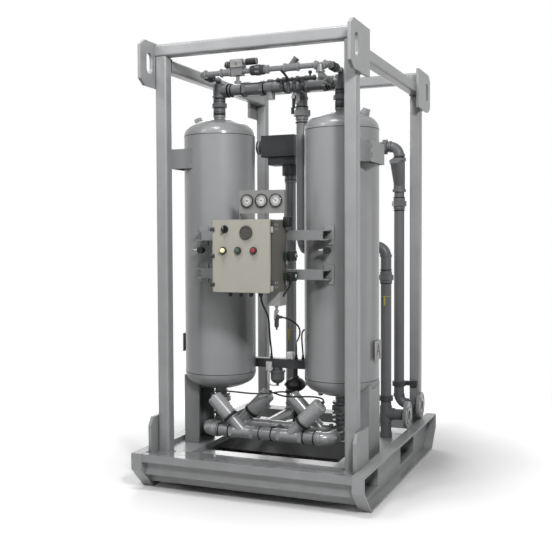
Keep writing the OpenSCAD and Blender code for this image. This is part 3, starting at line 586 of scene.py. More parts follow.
    def cast(self) -> bpy.types.Object:
        """Turns the mesh into a piece that rides on its body, and reports it.

        Returns:
            The piece.
        """
        data = bpy.data.meshes.new(self.name)
        self.mesh.to_mesh(data)
        self.mesh.free()
        data.materials.append(self.finish.material())
        piece = bpy.data.objects.new(self.name, data)
        bpy.context.scene.collection.objects.link(piece)
        data.shade_smooth()
        data.set_sharp_from_angle(angle=SHARP)
        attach(piece, self.body.value)
        LOG.info("%s on %s: %d faces", self.name, self.body.value, len(data.polygons))
        return piece


@dataclass(frozen=True)
class Lamp:
    """A square soft lamp: its place, what it faces, its side and its output in watts."""

    name: str
    place: Point
    target: Point
    size: float
    power: float

    def hang(self) -> None:
        """Hangs the lamp in the scene."""
        data = bpy.data.lights.new(self.name, "AREA")
        data.size = self.size
        data.energy = self.power
        lamp = bpy.data.objects.new(self.name, data)
        lamp.matrix_world = aim(self.place, Vector(self.place) - Vector(self.target))
        bpy.context.scene.collection.objects.link(lamp)


@dataclass
class Studio:
    """Camera, soft lamps, white surround and the floor."""

    eye: Point = (1.71443, -4.49637, 1.27366)
    yaw: float = 0.396756
    pitch: float = -0.034936
    roll: float = 0.004259
    lens: float = 56.11
    sensor: float = 36.0
    shift: tuple[float, float] = (0.00589, -0.01460)
    ambient: float = 0.04
    floor_half: float = 9.0
    floor_colour: Colour = (0.94, 0.94, 0.94)
    floor_roughness: float = 0.7
    fade_start: float = 1.3
    fade_end: float = 3.2
    lift_start: float = 0.75
    lift_end: float = 1.7
    lift_low: float = 0.0
    lift_high: float = 0.6
    lamps: tuple[Lamp, ...] = (
        Lamp("key", (2.5, -3.8, 3.5), (0.1, 0.0, 1.6), 0.7, 140),
        Lamp("left", (-1.5, -2.3, 3.2), (-0.4, -0.3, 2.2), 0.7, 17),
        Lamp("top", (0.0, -1.9, 4.3), (0.0, 0.0, 1.2), 0.9, 66),
        Lamp("right", (4.2, 1.0, 0.9), (0.0, 0.2, 0.7), 1.6, 10),
        Lamp("back", (-2.4, 4.6, 3.0), (0.0, 0.0, 1.2), 2.4, 95))

    def build(self) -> None:
        """Sets the scene round the object."""
        bpy.context.scene.view_settings.view_transform = "Standard"
        self._camera()
        self._surround()
        self._floor()
        for lamp in self.lamps:
            lamp.hang()

    def _camera(self) -> None:
        """Puts the camera where the photograph was taken from."""
        forward = Vector((-math.sin(self.yaw) * math.cos(self.pitch),
                          math.cos(self.yaw) * math.cos(self.pitch), math.sin(self.pitch)))
        right = Vector((math.cos(self.yaw), math.sin(self.yaw), 0.0))
        down = forward.cross(right)
        tilt_right = right * math.cos(self.roll) + down * math.sin(self.roll)
        tilt_down = down * math.cos(self.roll) - right * math.sin(self.roll)
        data = bpy.data.cameras.new("camera")
        data.lens = self.lens
        data.sensor_width = self.sensor
        data.shift_x, data.shift_y = self.shift
        camera = bpy.data.objects.new("camera", data)
        turn = Matrix((tilt_right, -tilt_down, -forward)).transposed().to_4x4()
        camera.matrix_world = Matrix.Translation(self.eye) @ turn
        bpy.context.scene.collection.objects.link(camera)
        bpy.context.scene.camera = camera

    def _surround(self) -> None:
        """Makes the world white where it is seen and softer where it lights."""
        world = bpy.data.worlds.new("surround")
        bpy.context.scene.world = world
        tree = Wiring(world)
        soft = tree.nodes["Background"]
        tree.fill(soft, {"Color": PLAIN_WHITE, "Strength": self.ambient})
        seen = tree.add("Background", {"Color": PLAIN_WHITE})
        ray = tree.add("LightPath").outputs
        mirror = tree.maths("MAXIMUM", ray["Is Camera Ray"], ray["Is Glossy Ray"])
        through = tree.maths("MAXIMUM", mirror, ray["Is Transmission Ray"])
        mix = tree.add("MixShader")
        tree.join(through, mix.inputs["Fac"])
        tree.join(soft.outputs[0], mix.inputs[1])
        tree.join(seen.outputs[0], mix.inputs[2])
        tree.join(mix.outputs[0], tree.nodes["World Output"].inputs["Surface"])

    def _floor(self) -> None:
        """Lays a pale floor that fades into the white surround."""
        shape = bmesh.new()
        bmesh.ops.create_grid(shape, x_segments=1, y_segments=1, size=self.floor_half)
        data = bpy.data.meshes.new("floor")
        shape.to_mesh(data)
        shape.free()
        floor = bpy.data.objects.new("floor", data)
        bpy.context.scene.collection.objects.link(floor)
        data.materials.append(self._paper())

    def _paper(self) -> bpy.types.Material:
        """Makes the floor's material, paler and then clear with the distance from the object.

        Returns:
            The material.
        """
        paper = bpy.data.materials.new("floor_paper")
        tree = Wiring(paper)
        shader = tree.nodes["Principled BSDF"]
        tree.fill(shader, {"Base Color": (*self.floor_colour, 1.0), "Roughness": self.floor_roughness,
                           "Emission Color": PLAIN_WHITE})
        span = tree.add("VectorMath")
        span.operation = "LENGTH"
        tree.join(tree.add("TexCoord").outputs["Object"], span.inputs[0])
        away = span.outputs["Value"]
        fade = tree.add("MapRange", {"From Min": self.fade_start, "From Max": self.fade_end})
        fade.interpolation_type = "SMOOTHSTEP"
        tree.join(away, fade.inputs["Value"])
        far = tree.add("MapRange", {"From Min": self.lift_start, "From Max": self.lift_end,
                                    "To Min": self.lift_low, "To Max": self.lift_high})
        tree.join(away, far.inputs["Value"])
        seen = tree.add("LightPath").outputs["Is Camera Ray"]
        lift = tree.maths("MULTIPLY", seen, far.outputs["Result"])
        tree.join(lift, shader.inputs["Emission Strength"])
        mix = tree.add("MixShader")
        tree.join(fade.outputs["Result"], mix.inputs["Fac"])
        tree.join(shader.outputs[0], mix.inputs[1])
        tree.join(tree.add("BsdfTransparent").outputs[0], mix.inputs[2])
        tree.join(mix.outputs[0], tree.nodes["Material Output"].inputs["Surface"])
        return paper


@dataclass
class LiftingFrame:
    """Welds of the skid, the posts, the beams and the lugs."""

    posts: tuple[str, ...] = ("post_front_left", "post_front_right", "post_rear_left", "post_rear_right")
    foot_bead: float = 0.0045
    foot_lift: float = 0.001
    seam_bead: float = 0.0035
    lug_drop: float = 0.156

    def build(self) -> None:
        """Lays the frame's welds."""
        welds = Mould("frame_welds", FRAME_PAINT)
        for name in self.posts:
            low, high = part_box(name)
            self._foot(welds, low, high)
            self._lug_seams(welds, low, high)
        self._beam_seams(welds)
        welds.cast()

    def _foot(self, welds: Mould, low: Vector, high: Vector) -> None:
        """Lays a weld round a post's foot.

        Args:
            welds: The piece that takes it.
            low, high: The post's corners.
        """
        z = low.z + self.foot_lift
        corners = [(low.x, low.y, z), (high.x, low.y, z), (high.x, high.y, z), (low.x, high.y, z)]
        for start, end in zip(corners, corners[1:] + corners[:1]):
            welds.weld(start, end, self.foot_bead)

    def _lug_seams(self, welds: Mould, low: Vector, high: Vector) -> None:
        """Lays the seams between a post and its lifting lug.

        Args:
            welds: The piece that takes them.
            low, high: The post's corners.
        """
        face = high.x if high.x > 0 else low.x
        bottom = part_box("lifting_lugs")[0].z
        for y in (low.y, high.y):
            welds.weld((face, y, bottom), (face, y, bottom + self.lug_drop), self.seam_bead)
        welds.weld((face, low.y, bottom), (face, high.y, bottom), self.seam_bead)

    def _beam_seams(self, welds: Mould) -> None:
        """Lays the seams where the side beams meet the posts.

        Args:
            welds: The piece that takes them.
        """
        beam_low, beam_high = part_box("side_beams")
        post_low, post_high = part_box("post_front_right")
        for side in reversed(SIDES):
            left, right = sorted((side * post_low.x, side * post_high.x))
            for end in reversed(SIDES):
                face = end * abs(post_high.y)
                for z in (beam_low.z, beam_high.z):
                    welds.weld((left, face, z), (right, face, z), self.seam_bead)
                for x in (left, right):
                    welds.weld((x, face, beam_low.z), (x, face, beam_high.z), self.seam_bead)


@dataclass
class ControlStation:
    """What is fixed on the enclosure, its door and the gauge panel."""

    # Door clamps: a seat on the enclosure and a hook on the door.
    clamp_heights: tuple[float, ...] = (1.316, 1.187, 1.050)
    seat_thick: float = 0.011
    seat_span: tuple[float, float] = (0.004, 0.034)
    seat_half: float = 0.014
    hook_reach: float = 0.012
    hook_thick: float = 0.004
    hook_half: float = 0.009
    hook_bolt: float = 0.011
    hook_bolt_out: float = 0.002
    # Cable glands.
    gland_places: tuple[float, ...] = (-0.118, -0.062, -0.006, 0.045)
    gland_nut: tuple[float, float] = (0.027, 0.008)
    gland: Profile = ((0, 0.007), (0.0105, 0.007), (0.0105, 0.018), (0.0075, 0.024), (0.0055, 0.026),
                      (0, 0.026))
    # Gauges, measured from the front of their cases; a dial's middle has a share of its radius.
    bezel: float = 0.005
    dial_depth: float = 0.0048
    dial_thick: float = 0.0006
    dial_middle: tuple[float, float, float] = (0.56, 0.0005, 0.0007)
    sweep: float = math.radians(270)
    tick_count: int = 21
    tick_group: int = 5
    tick_lengths: tuple[float, float] = (0.0055, 0.003)
    tick_half: tuple[float, float] = (0.0005, 0.0002)
    tick_soft: float = 0.0001
    mark_inset: float = 0.003
    mark_rise: float = 0.0008
    pointer_rise: float = 0.0018
    pointer_half: tuple[float, float] = (0.0008, 0.0003)
    pointer_inset: float = 0.006
    pointer_soft: float = 0.0002
    pointer_turn: float = 0.36
    pointer_step: float = 0.08
    pointer_cap: Profile = ((0, 0), (0.0032, 0), (0.0032, 0.0016), (0, 0.002))
    glass_depth: float = 0.0018
    glass_curve: Profile = ((0, 0), (1.0, 0), (1.0, 0.0008), (0.6, 0.0012), (0, 0.0014))
    round_steps: int = 40
    # Lamp and button caps, as shares of their radius and height.
    cap_gap: float = 0.0002
    cap_sink: float = 0.0005
    cap_curve: Profile = ((1.0, 0.0), (0.94, 0.5), (0.75, 0.82), (0.4, 0.97), (0.0, 1.0))
    lamp_rise: float = 0.006
    button_rise: float = 0.003
    # Selector plate (inner and outer radius, thickness) and the line on the knob.
    selector_plate: tuple[float, float, float] = (0.0158, 0.0195, 0.002)
    index_half: float = 0.0009
    index_span: tuple[float, float] = (0.002, 0.013)
    index_depth: tuple[float, float] = (-0.0003, 0.001)
    index_soft: float = 0.0002
    # Horn grille: its holes are thin black discs, painted shade.
    horn_rows: tuple[int, ...] = (1, 6, 12, 18)
    horn_pitch: float = 0.0068
    horn_depth: float = 0.0031
    horn_hole_shade_disc: Profile = ((0, 0), (0.0017, 0), (0.0014, 0.0003), (0, 0.0003))
    # Hinges.
    hinge_x: float = 0.149
    hinge_r: float = 0.006
    hinge_rises: tuple[float, ...] = (0.008, 0.286)
    hinge_length: float = 0.055
    sleeve_skin: tuple[float, float] = (-0.0004, 0.0007)
    sleeve_gap: float = 0.001
    sleeve_end: float = 0.0005
    pin_head: Profile = ((0, -0.001), (0.0062, -0.001), (0.0050, 0.002), (0, 0.003))
    screw_back: tuple[float, ...] = (0.052, 0.078)
    screw_rises: tuple[float, ...] = (0.016, 0.038)
    hinge_screw: Profile = ((0, 0), (0.0052, 0), (0.0052, 0.0012), (0.0036, 0.0026), (0, 0.0030))
    # Solenoid valves: places are measured from each valve's left front edge.
    solenoid_rises: tuple[float, ...] = (0.056, 0.156)
    plug_low: Point = (0.026, -0.012, 0.004)
    plug_high: Point = (0.052, 0.006, 0.032)
    plug_soft: float = 0.003
    plug_gland_place: Point = (0.039, -0.003, 0.005)
    plug_gland: Profile = ((0, 0), (0.0085, 0), (0.0085, 0.010), (0.0065, 0.016), (0, 0.016))
    coil_nut: tuple[float, float] = (0.021, 0.006)
    coil_nut_place: Point = (0.058, 0, 0.017)
    port_nut: tuple[float, float] = (0.019, 0.008)
    port_place: Point = (0.010, 0, 0)
    port_stub: Profile = ((0, 0.007), (0.0065, 0.007), (0.0065, 0.022), (0.0050, 0.026), (0, 0.026))
    # Sample valves' nipples.
    nipple_y: float = 0.013
    nipple_seat: float = 0.030
    nipple_nut: tuple[float, float] = (0.019, 0.008)
    nipple: Profile = ((0, 0.007), (0.0070, 0.007), (0.0078, 0.012), (0.0066, 0.016), (0.0078, 0.020),
                       (0.0064, 0.0235), (0.0064, 0.029), (0, 0.0305))
    # Dark strip in the door gap, painted shade.
    gap_shade_front: float = 0.0016
    gap_shade_back: float = 0.005
    gap_shade_out: float = 0.0007
    gap_shade_inset: float = 0.004
    gap_shade_soft: float = 0.0003
    # Filter regulator: places and heights are measured from its top.
    shutoff: Profile = (
        (0, 0), (0.0085, 0), (0.0085, -0.010), (0.0060, -0.012), (0.0060, -0.020), (0.0100, -0.022),
        (0.0112, -0.028), (0.0100, -0.036), (0.0060, -0.038), (0.0060, -0.046), (0, -0.046))
    shutoff_nut: tuple[float, float] = (0.021, 0.009)
    shutoff_stem: tuple[float, float] = (0.0042, 0.015)
    shutoff_stem_place: Point = (0, -0.008, -0.029)
    shutoff_handle_low: Point = (-0.004, -0.0255, -0.064)
    shutoff_handle_high: Point = (0.004, -0.0225, -0.024)
    shutoff_handle_soft: float = 0.001
    filter_body: Profile = (
        (0, -0.045), (0.0125, -0.045), (0.0140, -0.048), (0.0140, -0.066), (0.0125, -0.069),
        (0.0112, -0.070), (0.0112, -0.098), (0.0095, -0.106), (0.0055, -0.109), (0.0045, -0.109),
        (0.0045, -0.120), (0, -0.120))
    filter_port: tuple[float, float] = (0.0055, 0.018)
    filter_port_place: Point = (0.010, 0, -0.057)
    filter_nut: tuple[float, float] = (0.016, 0.008)
    filter_nut_place: Point = (0.020, 0, -0.057)

    def build(self) -> None:
        """Builds the small pieces of the controls."""
        self._clamps()
        self._glands()
        self._dials()
        self._pilots()
        self._selector()
        self._horn()
        self._hinges()
        self._solenoids()
        self._sample_nipples()
        self._door_gap_shade()
        self._regulator()

    def _wall_front(self) -> float:
        """Gives the front of the enclosure's wall, where the hinge pins stand.

        The enclosure's box is deeper than its wall, because the hinge knuckles reach past the front.

        Returns:
            The wall's front in Y.
        """
        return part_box("enclosure_box")[0].y + self.hinge_r

    def _clamps(self) -> None:
        """Makes the door clamps on the free edge."""
        box_low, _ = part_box("enclosure_box")
        door_low, door_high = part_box("enclosure_door")
        seats = Mould("clamp_seats", SILVER)
        hooks = Mould("clamp_hooks", DARK_CASTING, Body.DOOR)
        x, front = box_low.x, door_low.y - self.hook_thick
        for z in self.clamp_heights:
            seats.block((x - self.seat_thick, box_low.y + self.seat_span[0], z - self.seat_half),
                        (x, box_low.y + self.seat_span[1], z + self.seat_half))
            corner, top = (x - self.hook_reach, front, z - self.hook_half), z + self.hook_half
            hooks.block(corner, (x + self.hook_reach, door_low.y, top))
            hooks.block(corner, (x - self.hook_thick, door_high.y, top))
            hooks.bolt(self.hook_bolt, (x - self.hook_bolt_out, front, z), Axis.FRONT)
        seats.cast()
        hooks.cast()

    def _glands(self) -> None:
        """Makes the cable glands under the enclosure."""
        low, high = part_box("enclosure_box")
        glands = Mould("cable_glands", BLACK)
        for x in self.gland_places:
            place = (x, (low.y + high.y) / 2, low.z)
            glands.hexagon(*self.gland_nut, place, Axis.DOWN)
            glands.turned(self.gland, place, Axis.DOWN, steps=24)
        glands.cast()

    def _dials(self) -> None:
        """Makes the gauges' dials, marks, pointers and glasses."""
        low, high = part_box("pressure_gauges")
        radius = (high.z - low.z) / 2
        inner = radius - self.bezel
        middle = (low.z + high.z) / 2
        places = (low.x + radius, (low.x + high.x) / 2, high.x - radius)
        face = low.y + self.dial_depth
        share, back, front = self.dial_middle
        glass = tuple((inner * wide, rise) for wide, rise in self.glass_curve)
        dials = Mould("gauge_dials", DIAL)
        middles = Mould("gauge_middles", WHITE)
        marks = Mould("gauge_marks", BLACK)
        glasses = Mould("gauge_glasses", GLASS)
        for index, x in enumerate(places):
            seat = (x, face, middle)
            dials.rod(inner, 0, self.dial_thick, seat, Axis.FRONT, steps=self.round_steps)
            middles.rod(inner * share, back, front, seat, Axis.FRONT, steps=self.round_steps)
            self._ticks(marks, seat, inner)
            self._pointer(marks, seat, inner, index)
            glasses.turned(glass, (x, low.y + self.glass_depth, middle), Axis.FRONT, steps=self.round_steps)
        for piece in (dials, middles, marks, glasses):
            piece.cast()

    def _ticks(self, marks: Mould, seat: Point, inner: float) -> None:
        """Sets the ticks round a dial.

        Args:
            marks: The piece that takes them.
            seat: The middle of the dial.
            inner: The dial's radius.
        """
        wide, thick = self.tick_half
        top = inner - self.mark_inset
        for tick in range(self.tick_count):
            angle = self.sweep * (tick / (self.tick_count - 1) - 0.5)
            length = self.tick_lengths[0 if tick % self.tick_group == 0 else 1]
            turn = self._on_dial(seat, self.mark_rise, angle)
            marks.block((-wide, -thick, top - length), (wide, thick, top), self.tick_soft, turn)

    def _pointer(self, marks: Mould, seat: Point, inner: float, index: int) -> None:
        """Sets a dial's pointer and the cap on its spindle.

        Args:
            marks: The piece that takes them.
            seat: The middle of the dial.
            inner: The dial's radius.
            index: Which gauge.
        """
        wide, thick = self.pointer_half
        angle = -self.sweep * (self.pointer_turn - self.pointer_step * index)
        turn = self._on_dial(seat, self.pointer_rise, angle)
        marks.block((-wide, -thick, -self.pointer_inset), (wide, thick, inner - self.pointer_inset),
                    self.pointer_soft, turn)
        marks.turned(self.pointer_cap, shifted(seat, (0, -self.mark_rise, 0)), Axis.FRONT, steps=20)

    def _on_dial(self, seat: Point, rise: float, angle: float) -> Matrix:
        """Gives the matrix that turns an upright mark and lays it in front of a dial.

        Args:
            seat: The middle of the dial.
            rise: How far in front of it the mark lies.
            angle: The mark's turn.

        Returns:
            The matrix.
        """
        return Matrix.Translation(shifted(seat, (0, -rise, 0))) @ Matrix.Rotation(angle, 4, "Y")

    def _pilots(self) -> None:
        """Makes the rounded caps of the lamp and the two buttons."""
        for name, node, finish, body, rise in (
                ("lamp_dome", "pilot_lamp", LENS, Body.DOOR, self.lamp_rise),
                ("start_cap", "start_button", GREEN, Body.START, self.button_rise),
                ("stop_cap", "stop_button", RED, Body.STOP, self.button_rise)):
            low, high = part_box(node)
            radius = (high.x - low.x) / 2 - self.cap_gap
            dome = tuple((radius * wide, rise * tall) for wide, tall in self.cap_curve)
            cap = Mould(name, finish, body)
            cap.turned(((0, -self.cap_sink), (radius, -self.cap_sink), *dome),
                       ((low.x + high.x) / 2, low.y, (low.z + high.z) / 2), Axis.FRONT, steps=self.round_steps)
            cap.cast()

    def _selector(self) -> None:
        """Makes the selector's plate and index line."""
        low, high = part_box("selector_knob")
        x, z = (low.x + high.x) / 2, (low.z + high.z) / 2
        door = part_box("enclosure_door")[0].y
        inner, outer, thick = self.selector_plate
        plate = Mould("selector_plate", BEZEL, Body.DOOR)
        plate.ring(inner, outer, 0.0, thick, (x, door, z), Axis.FRONT, steps=self.round_steps)
        plate.cast()
        line = Mould("selector_index", WHITE, Body.SELECTOR)
        line.block((x - self.index_half, low.y + self.index_depth[0], z + self.index_span[0]),
                   (x + self.index_half, low.y + self.index_depth[1], z + self.index_span[1]),
                   self.index_soft)
        line.cast()

    def _horn(self) -> None:
        """Paints the rows of holes in the horn's face as thin black discs of painted shade."""
        low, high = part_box("alarm_horn")
        x, z = (low.x + high.x) / 2, (low.z + high.z) / 2
        # Black discs stand for the shade inside the grille's holes.
        grille = Mould("horn_hole_shades", BLACK, Body.DOOR)
        for ring, count in enumerate(self.horn_rows):
            for step in range(count):
                angle = math.tau * step / count
                place = (x + ring * self.horn_pitch * math.cos(angle), low.y + self.horn_depth,
                         z + ring * self.horn_pitch * math.sin(angle))
                grille.turned(self.horn_hole_shade_disc, place, Axis.FRONT, steps=10)
        grille.cast()

    def _hinges(self) -> None:
        """Sleeves the hinge knuckles and screws their leaves to the enclosure's side."""
        low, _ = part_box("enclosure_box")
        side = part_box("solenoid_valves")[0].x
        fixed = Mould("hinge_sleeves", DARK_CASTING)
        swung = Mould("hinge_door_sleeves", DARK_CASTING, Body.DOOR)
        screws = Mould("hinge_screws", SILVER)
        inner, outer = (self.hinge_r + skin for skin in self.sleeve_skin)
        half = self.hinge_length / 2
        head = tuple((radius, self.hinge_length + rise) for radius, rise in self.pin_head)
        for rise in self.hinge_rises:
            foot = low.z + rise
            seat = (self.hinge_x, self._wall_front(), foot)
            fixed.ring(inner, outer, half + self.sleeve_gap, self.hinge_length - self.sleeve_end, seat)
            fixed.turned(head, seat, steps=20)
            swung.ring(inner, outer, self.sleeve_end, half - self.sleeve_gap, seat)
            for back in self.screw_back:
                for up in self.screw_rises:
                    screws.turned(self.hinge_screw, (side, low.y + back, foot + up), Axis.RIGHT, steps=20)
        for piece in (fixed, swung, screws):
            piece.cast()

    def _solenoids(self) -> None:
        """Puts the plugs, coil nuts and nipples on the solenoid valves."""
        low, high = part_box("solenoid_valves")
        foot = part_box("enclosure_box")[0].z
        plugs = Mould("solenoid_plugs", BLACK)
        nuts = Mould("solenoid_nuts", SILVER)
        for rise in self.solenoid_rises:
            edge = (low.x, low.y, foot + rise)
            middle = (low.x, (low.y + high.y) / 2, foot + rise)
            plugs.block(shifted(edge, self.plug_low), shifted(edge, self.plug_high), self.plug_soft)
            plugs.turned(self.plug_gland, shifted(edge, self.plug_gland_place), Axis.DOWN, steps=24)
            nuts.hexagon(*self.coil_nut, shifted(middle, self.coil_nut_place), Axis.RIGHT)
            nuts.hexagon(*self.port_nut, shifted(middle, self.port_place), Axis.DOWN)
            nuts.turned(self.port_stub, shifted(middle, self.port_place), Axis.DOWN, steps=24)
        plugs.cast()
        nuts.cast()

    def _sample_nipples(self) -> None:
        """Puts bright nipples on the sample valves' outlets."""
        low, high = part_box("sample_valves")
        nipples = Mould("sample_nipples", SILVER)
        z, y = (low.z + high.z) / 2, low.y + self.nipple_y
        for tip in (low.x, low.x + 2 * Towers.axis_x):
            seat = (tip + self.nipple_seat, y, z)
            nipples.hexagon(*self.nipple_nut, seat, Axis.LEFT)
            nipples.turned(self.nipple, seat, Axis.LEFT, steps=24)
        nipples.cast()

    def _door_gap_shade(self) -> None:
        """Paints the shade in the gap between the enclosure and its door as a dark rubber strip."""
        low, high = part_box("door_gasket")
        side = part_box("solenoid_valves")[0].x
        box_low, box_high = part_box("enclosure_box")
        wall = self._wall_front()
        front, back = wall - self.gap_shade_front, wall + self.gap_shade_back
        out, inset = self.gap_shade_out, self.gap_shade_inset
        # A dark strip at the wall's front stands for the shade in the door gap.
        gap_shade = Mould("door_gap_shade", RUBBER)
        for z in (box_low.z, box_high.z):
            gap_shade.block((low.x + inset, front, z - out), (high.x - inset, back, z + out), self.gap_shade_soft)
        for x in (box_low.x, side):
            gap_shade.block((x - out, front, low.z + inset), (x + out, back, high.z - inset), self.gap_shade_soft)
        gap_shade.cast()

    def _regulator(self) -> None:
        """Makes the slim filter regulator with its shut-off under the junction box."""
        low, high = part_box("pilot_regulator")
        top = ((low.x + high.x) / 2, (low.y + high.y) / 2, high.z)
        stem, reach = self.shutoff_stem
        bright = Mould("pilot_shutoff", SILVER)
        bright.turned(self.shutoff, top, steps=28)
        bright.hexagon(*self.shutoff_nut, top, Axis.DOWN)
        bright.rod(stem, 0, reach, shifted(top, self.shutoff_stem_place), Axis.FRONT, steps=20)
        bright.block(shifted(top, self.shutoff_handle_low), shifted(top, self.shutoff_handle_high),
                     self.shutoff_handle_soft)
        bright.cast()
        port, length = self.filter_port
        dark = Mould("pilot_filter", DARK_CASTING)
        dark.turned(self.filter_body, top, steps=32)
        dark.rod(port, 0, length, shifted(top, self.filter_port_place), Axis.RIGHT, steps=20)
        dark.hexagon(*self.filter_nut, shifted(top, self.filter_nut_place), Axis.RIGHT)
        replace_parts(dark.cast(), "pilot_regulator")


@dataclass
class Towers:
    """Painted shade along the seams, letter plates and drain plugs of the two vessels."""

    axis_x: float = 0.344
    axis_y: float = -0.315
    radius: float = 0.19
    seams: tuple[float, float] = (0.558, 1.816)
    seam_skin: tuple[float, float] = (-0.002, 0.0006)
    seam_half: float = 0.0016
    seam_soft: float = 0.0003
    # Letter plates: corners in Y and Z, and their faces' distances from the shell.
    plate_low: tuple[float, float] = (-0.385, 0.660)
    plate_high: tuple[float, float] = (-0.270, 0.758)
    plate_faces: tuple[float, float] = (0.003, 0.006)
    plate_soft: float = 0.001
    boss_inset: float = 0.012
    boss_sink: float = 0.0002
    boss: tuple[float, float, float] = (0.008, -0.003, 0.0036)
    letters: tuple[tuple[int, str], ...] = ((1, "A"), (-1, "B"))
    letter_height: float = 0.062
    letter_share: float = 0.7
    letter_rise: float = 0.0004
    # Drain plugs, from each tower's axis and lower seam.
    drain_reach: float = 0.105
    drain_front: float = 0.03
    drain_drop: float = 0.05
    drain: Profile = ((0, 0), (0.019, 0), (0.019, 0.026), (0.017, 0.03), (0, 0.03))
    drain_head: tuple[float, float] = (0.026, 0.014)

    def build(self) -> None:
        """Builds the pieces of both vessels."""
        self._seam_shades()
        self._plates()
        self._letters()
        self._drains()

    def _seam_shades(self) -> None:
        """Paints the shade in the joints where the heads meet the shells, as dark lines of the tower paint."""
        # Dark bands of tower paint stand for the shade in the seam grooves.
        lines = Mould("tower_seam_shades", SEAM_SHADE)
        inner, outer = (self.radius + skin for skin in self.seam_skin)
        for side in SIDES:
            for z in self.seams:
                lines.ring(inner, outer, -self.seam_half, self.seam_half,
                           (side * self.axis_x, self.axis_y, z), soft=self.seam_soft, steps=96)
        lines.cast()

    def _plates(self) -> None:
        """Makes the letter plates on their small bosses."""
        plates = Mould("tower_plates", PANEL_PAINT)
        face = self.axis_x + self.radius
        for side in SIDES:
            x0, x1 = sorted(side * (face + out) for out in self.plate_faces)
            plates.block((x0, *self.plate_low), (x1, *self.plate_high), self.plate_soft)
            for z in (self.plate_low[1] + self.boss_inset, self.plate_high[1] - self.boss_inset):
                plates.rod(*self.boss, (side * (face - self.boss_sink), self.axis_y, z),
                           Vector((side, 0.0, 0.0)), steps=20)
        plates.cast()

    def _letters(self) -> None:
        """Sets one plain letter on each plate."""
        middle_y, middle_z = ((low + high) / 2 for low, high in zip(self.plate_low, self.plate_high))
        face = self.axis_x + self.radius + self.plate_faces[1]
        for side, letter in self.letters:
            words = bpy.data.curves.new("letter", "FONT")
            words.body = letter
            words.size = self.letter_height / self.letter_share
            words.extrude = self.letter_rise
            words.align_x, words.align_y = "CENTER", "CENTER"
            made = meshed(words)
            # The text runs along Y, stands up along Z and faces outwards along X.
            turn = Matrix(((0, 0, side), (side, 0, 0), (0, 1, 0))).to_4x4()
            place = Matrix.Translation((side * face, middle_y, middle_z))
            bmesh.ops.transform(made, verts=made.verts, matrix=place @ turn)
            mark = Mould(f"tower_letter_{letter.lower()}", BLACK)
            mark.take(made)
            mark.cast()

    def _drains(self) -> None:
        """Makes the plugged couplings under the lower heads."""
        drains = Mould("drain_plugs", FITTING_PAINT)
        for side in SIDES:
            place = (side * self.axis_x - self.drain_reach, self.axis_y - self.drain_front,
                     self.seams[0] - self.drain_drop)
            drains.turned(self.drain, place, Axis.DOWN, steps=28)
            foot = Vector(place) + Vector((0, 0, -self.drain[-1][1]))
            drains.hexagon(*self.drain_head, foot, Axis.DOWN)
        drains.cast()


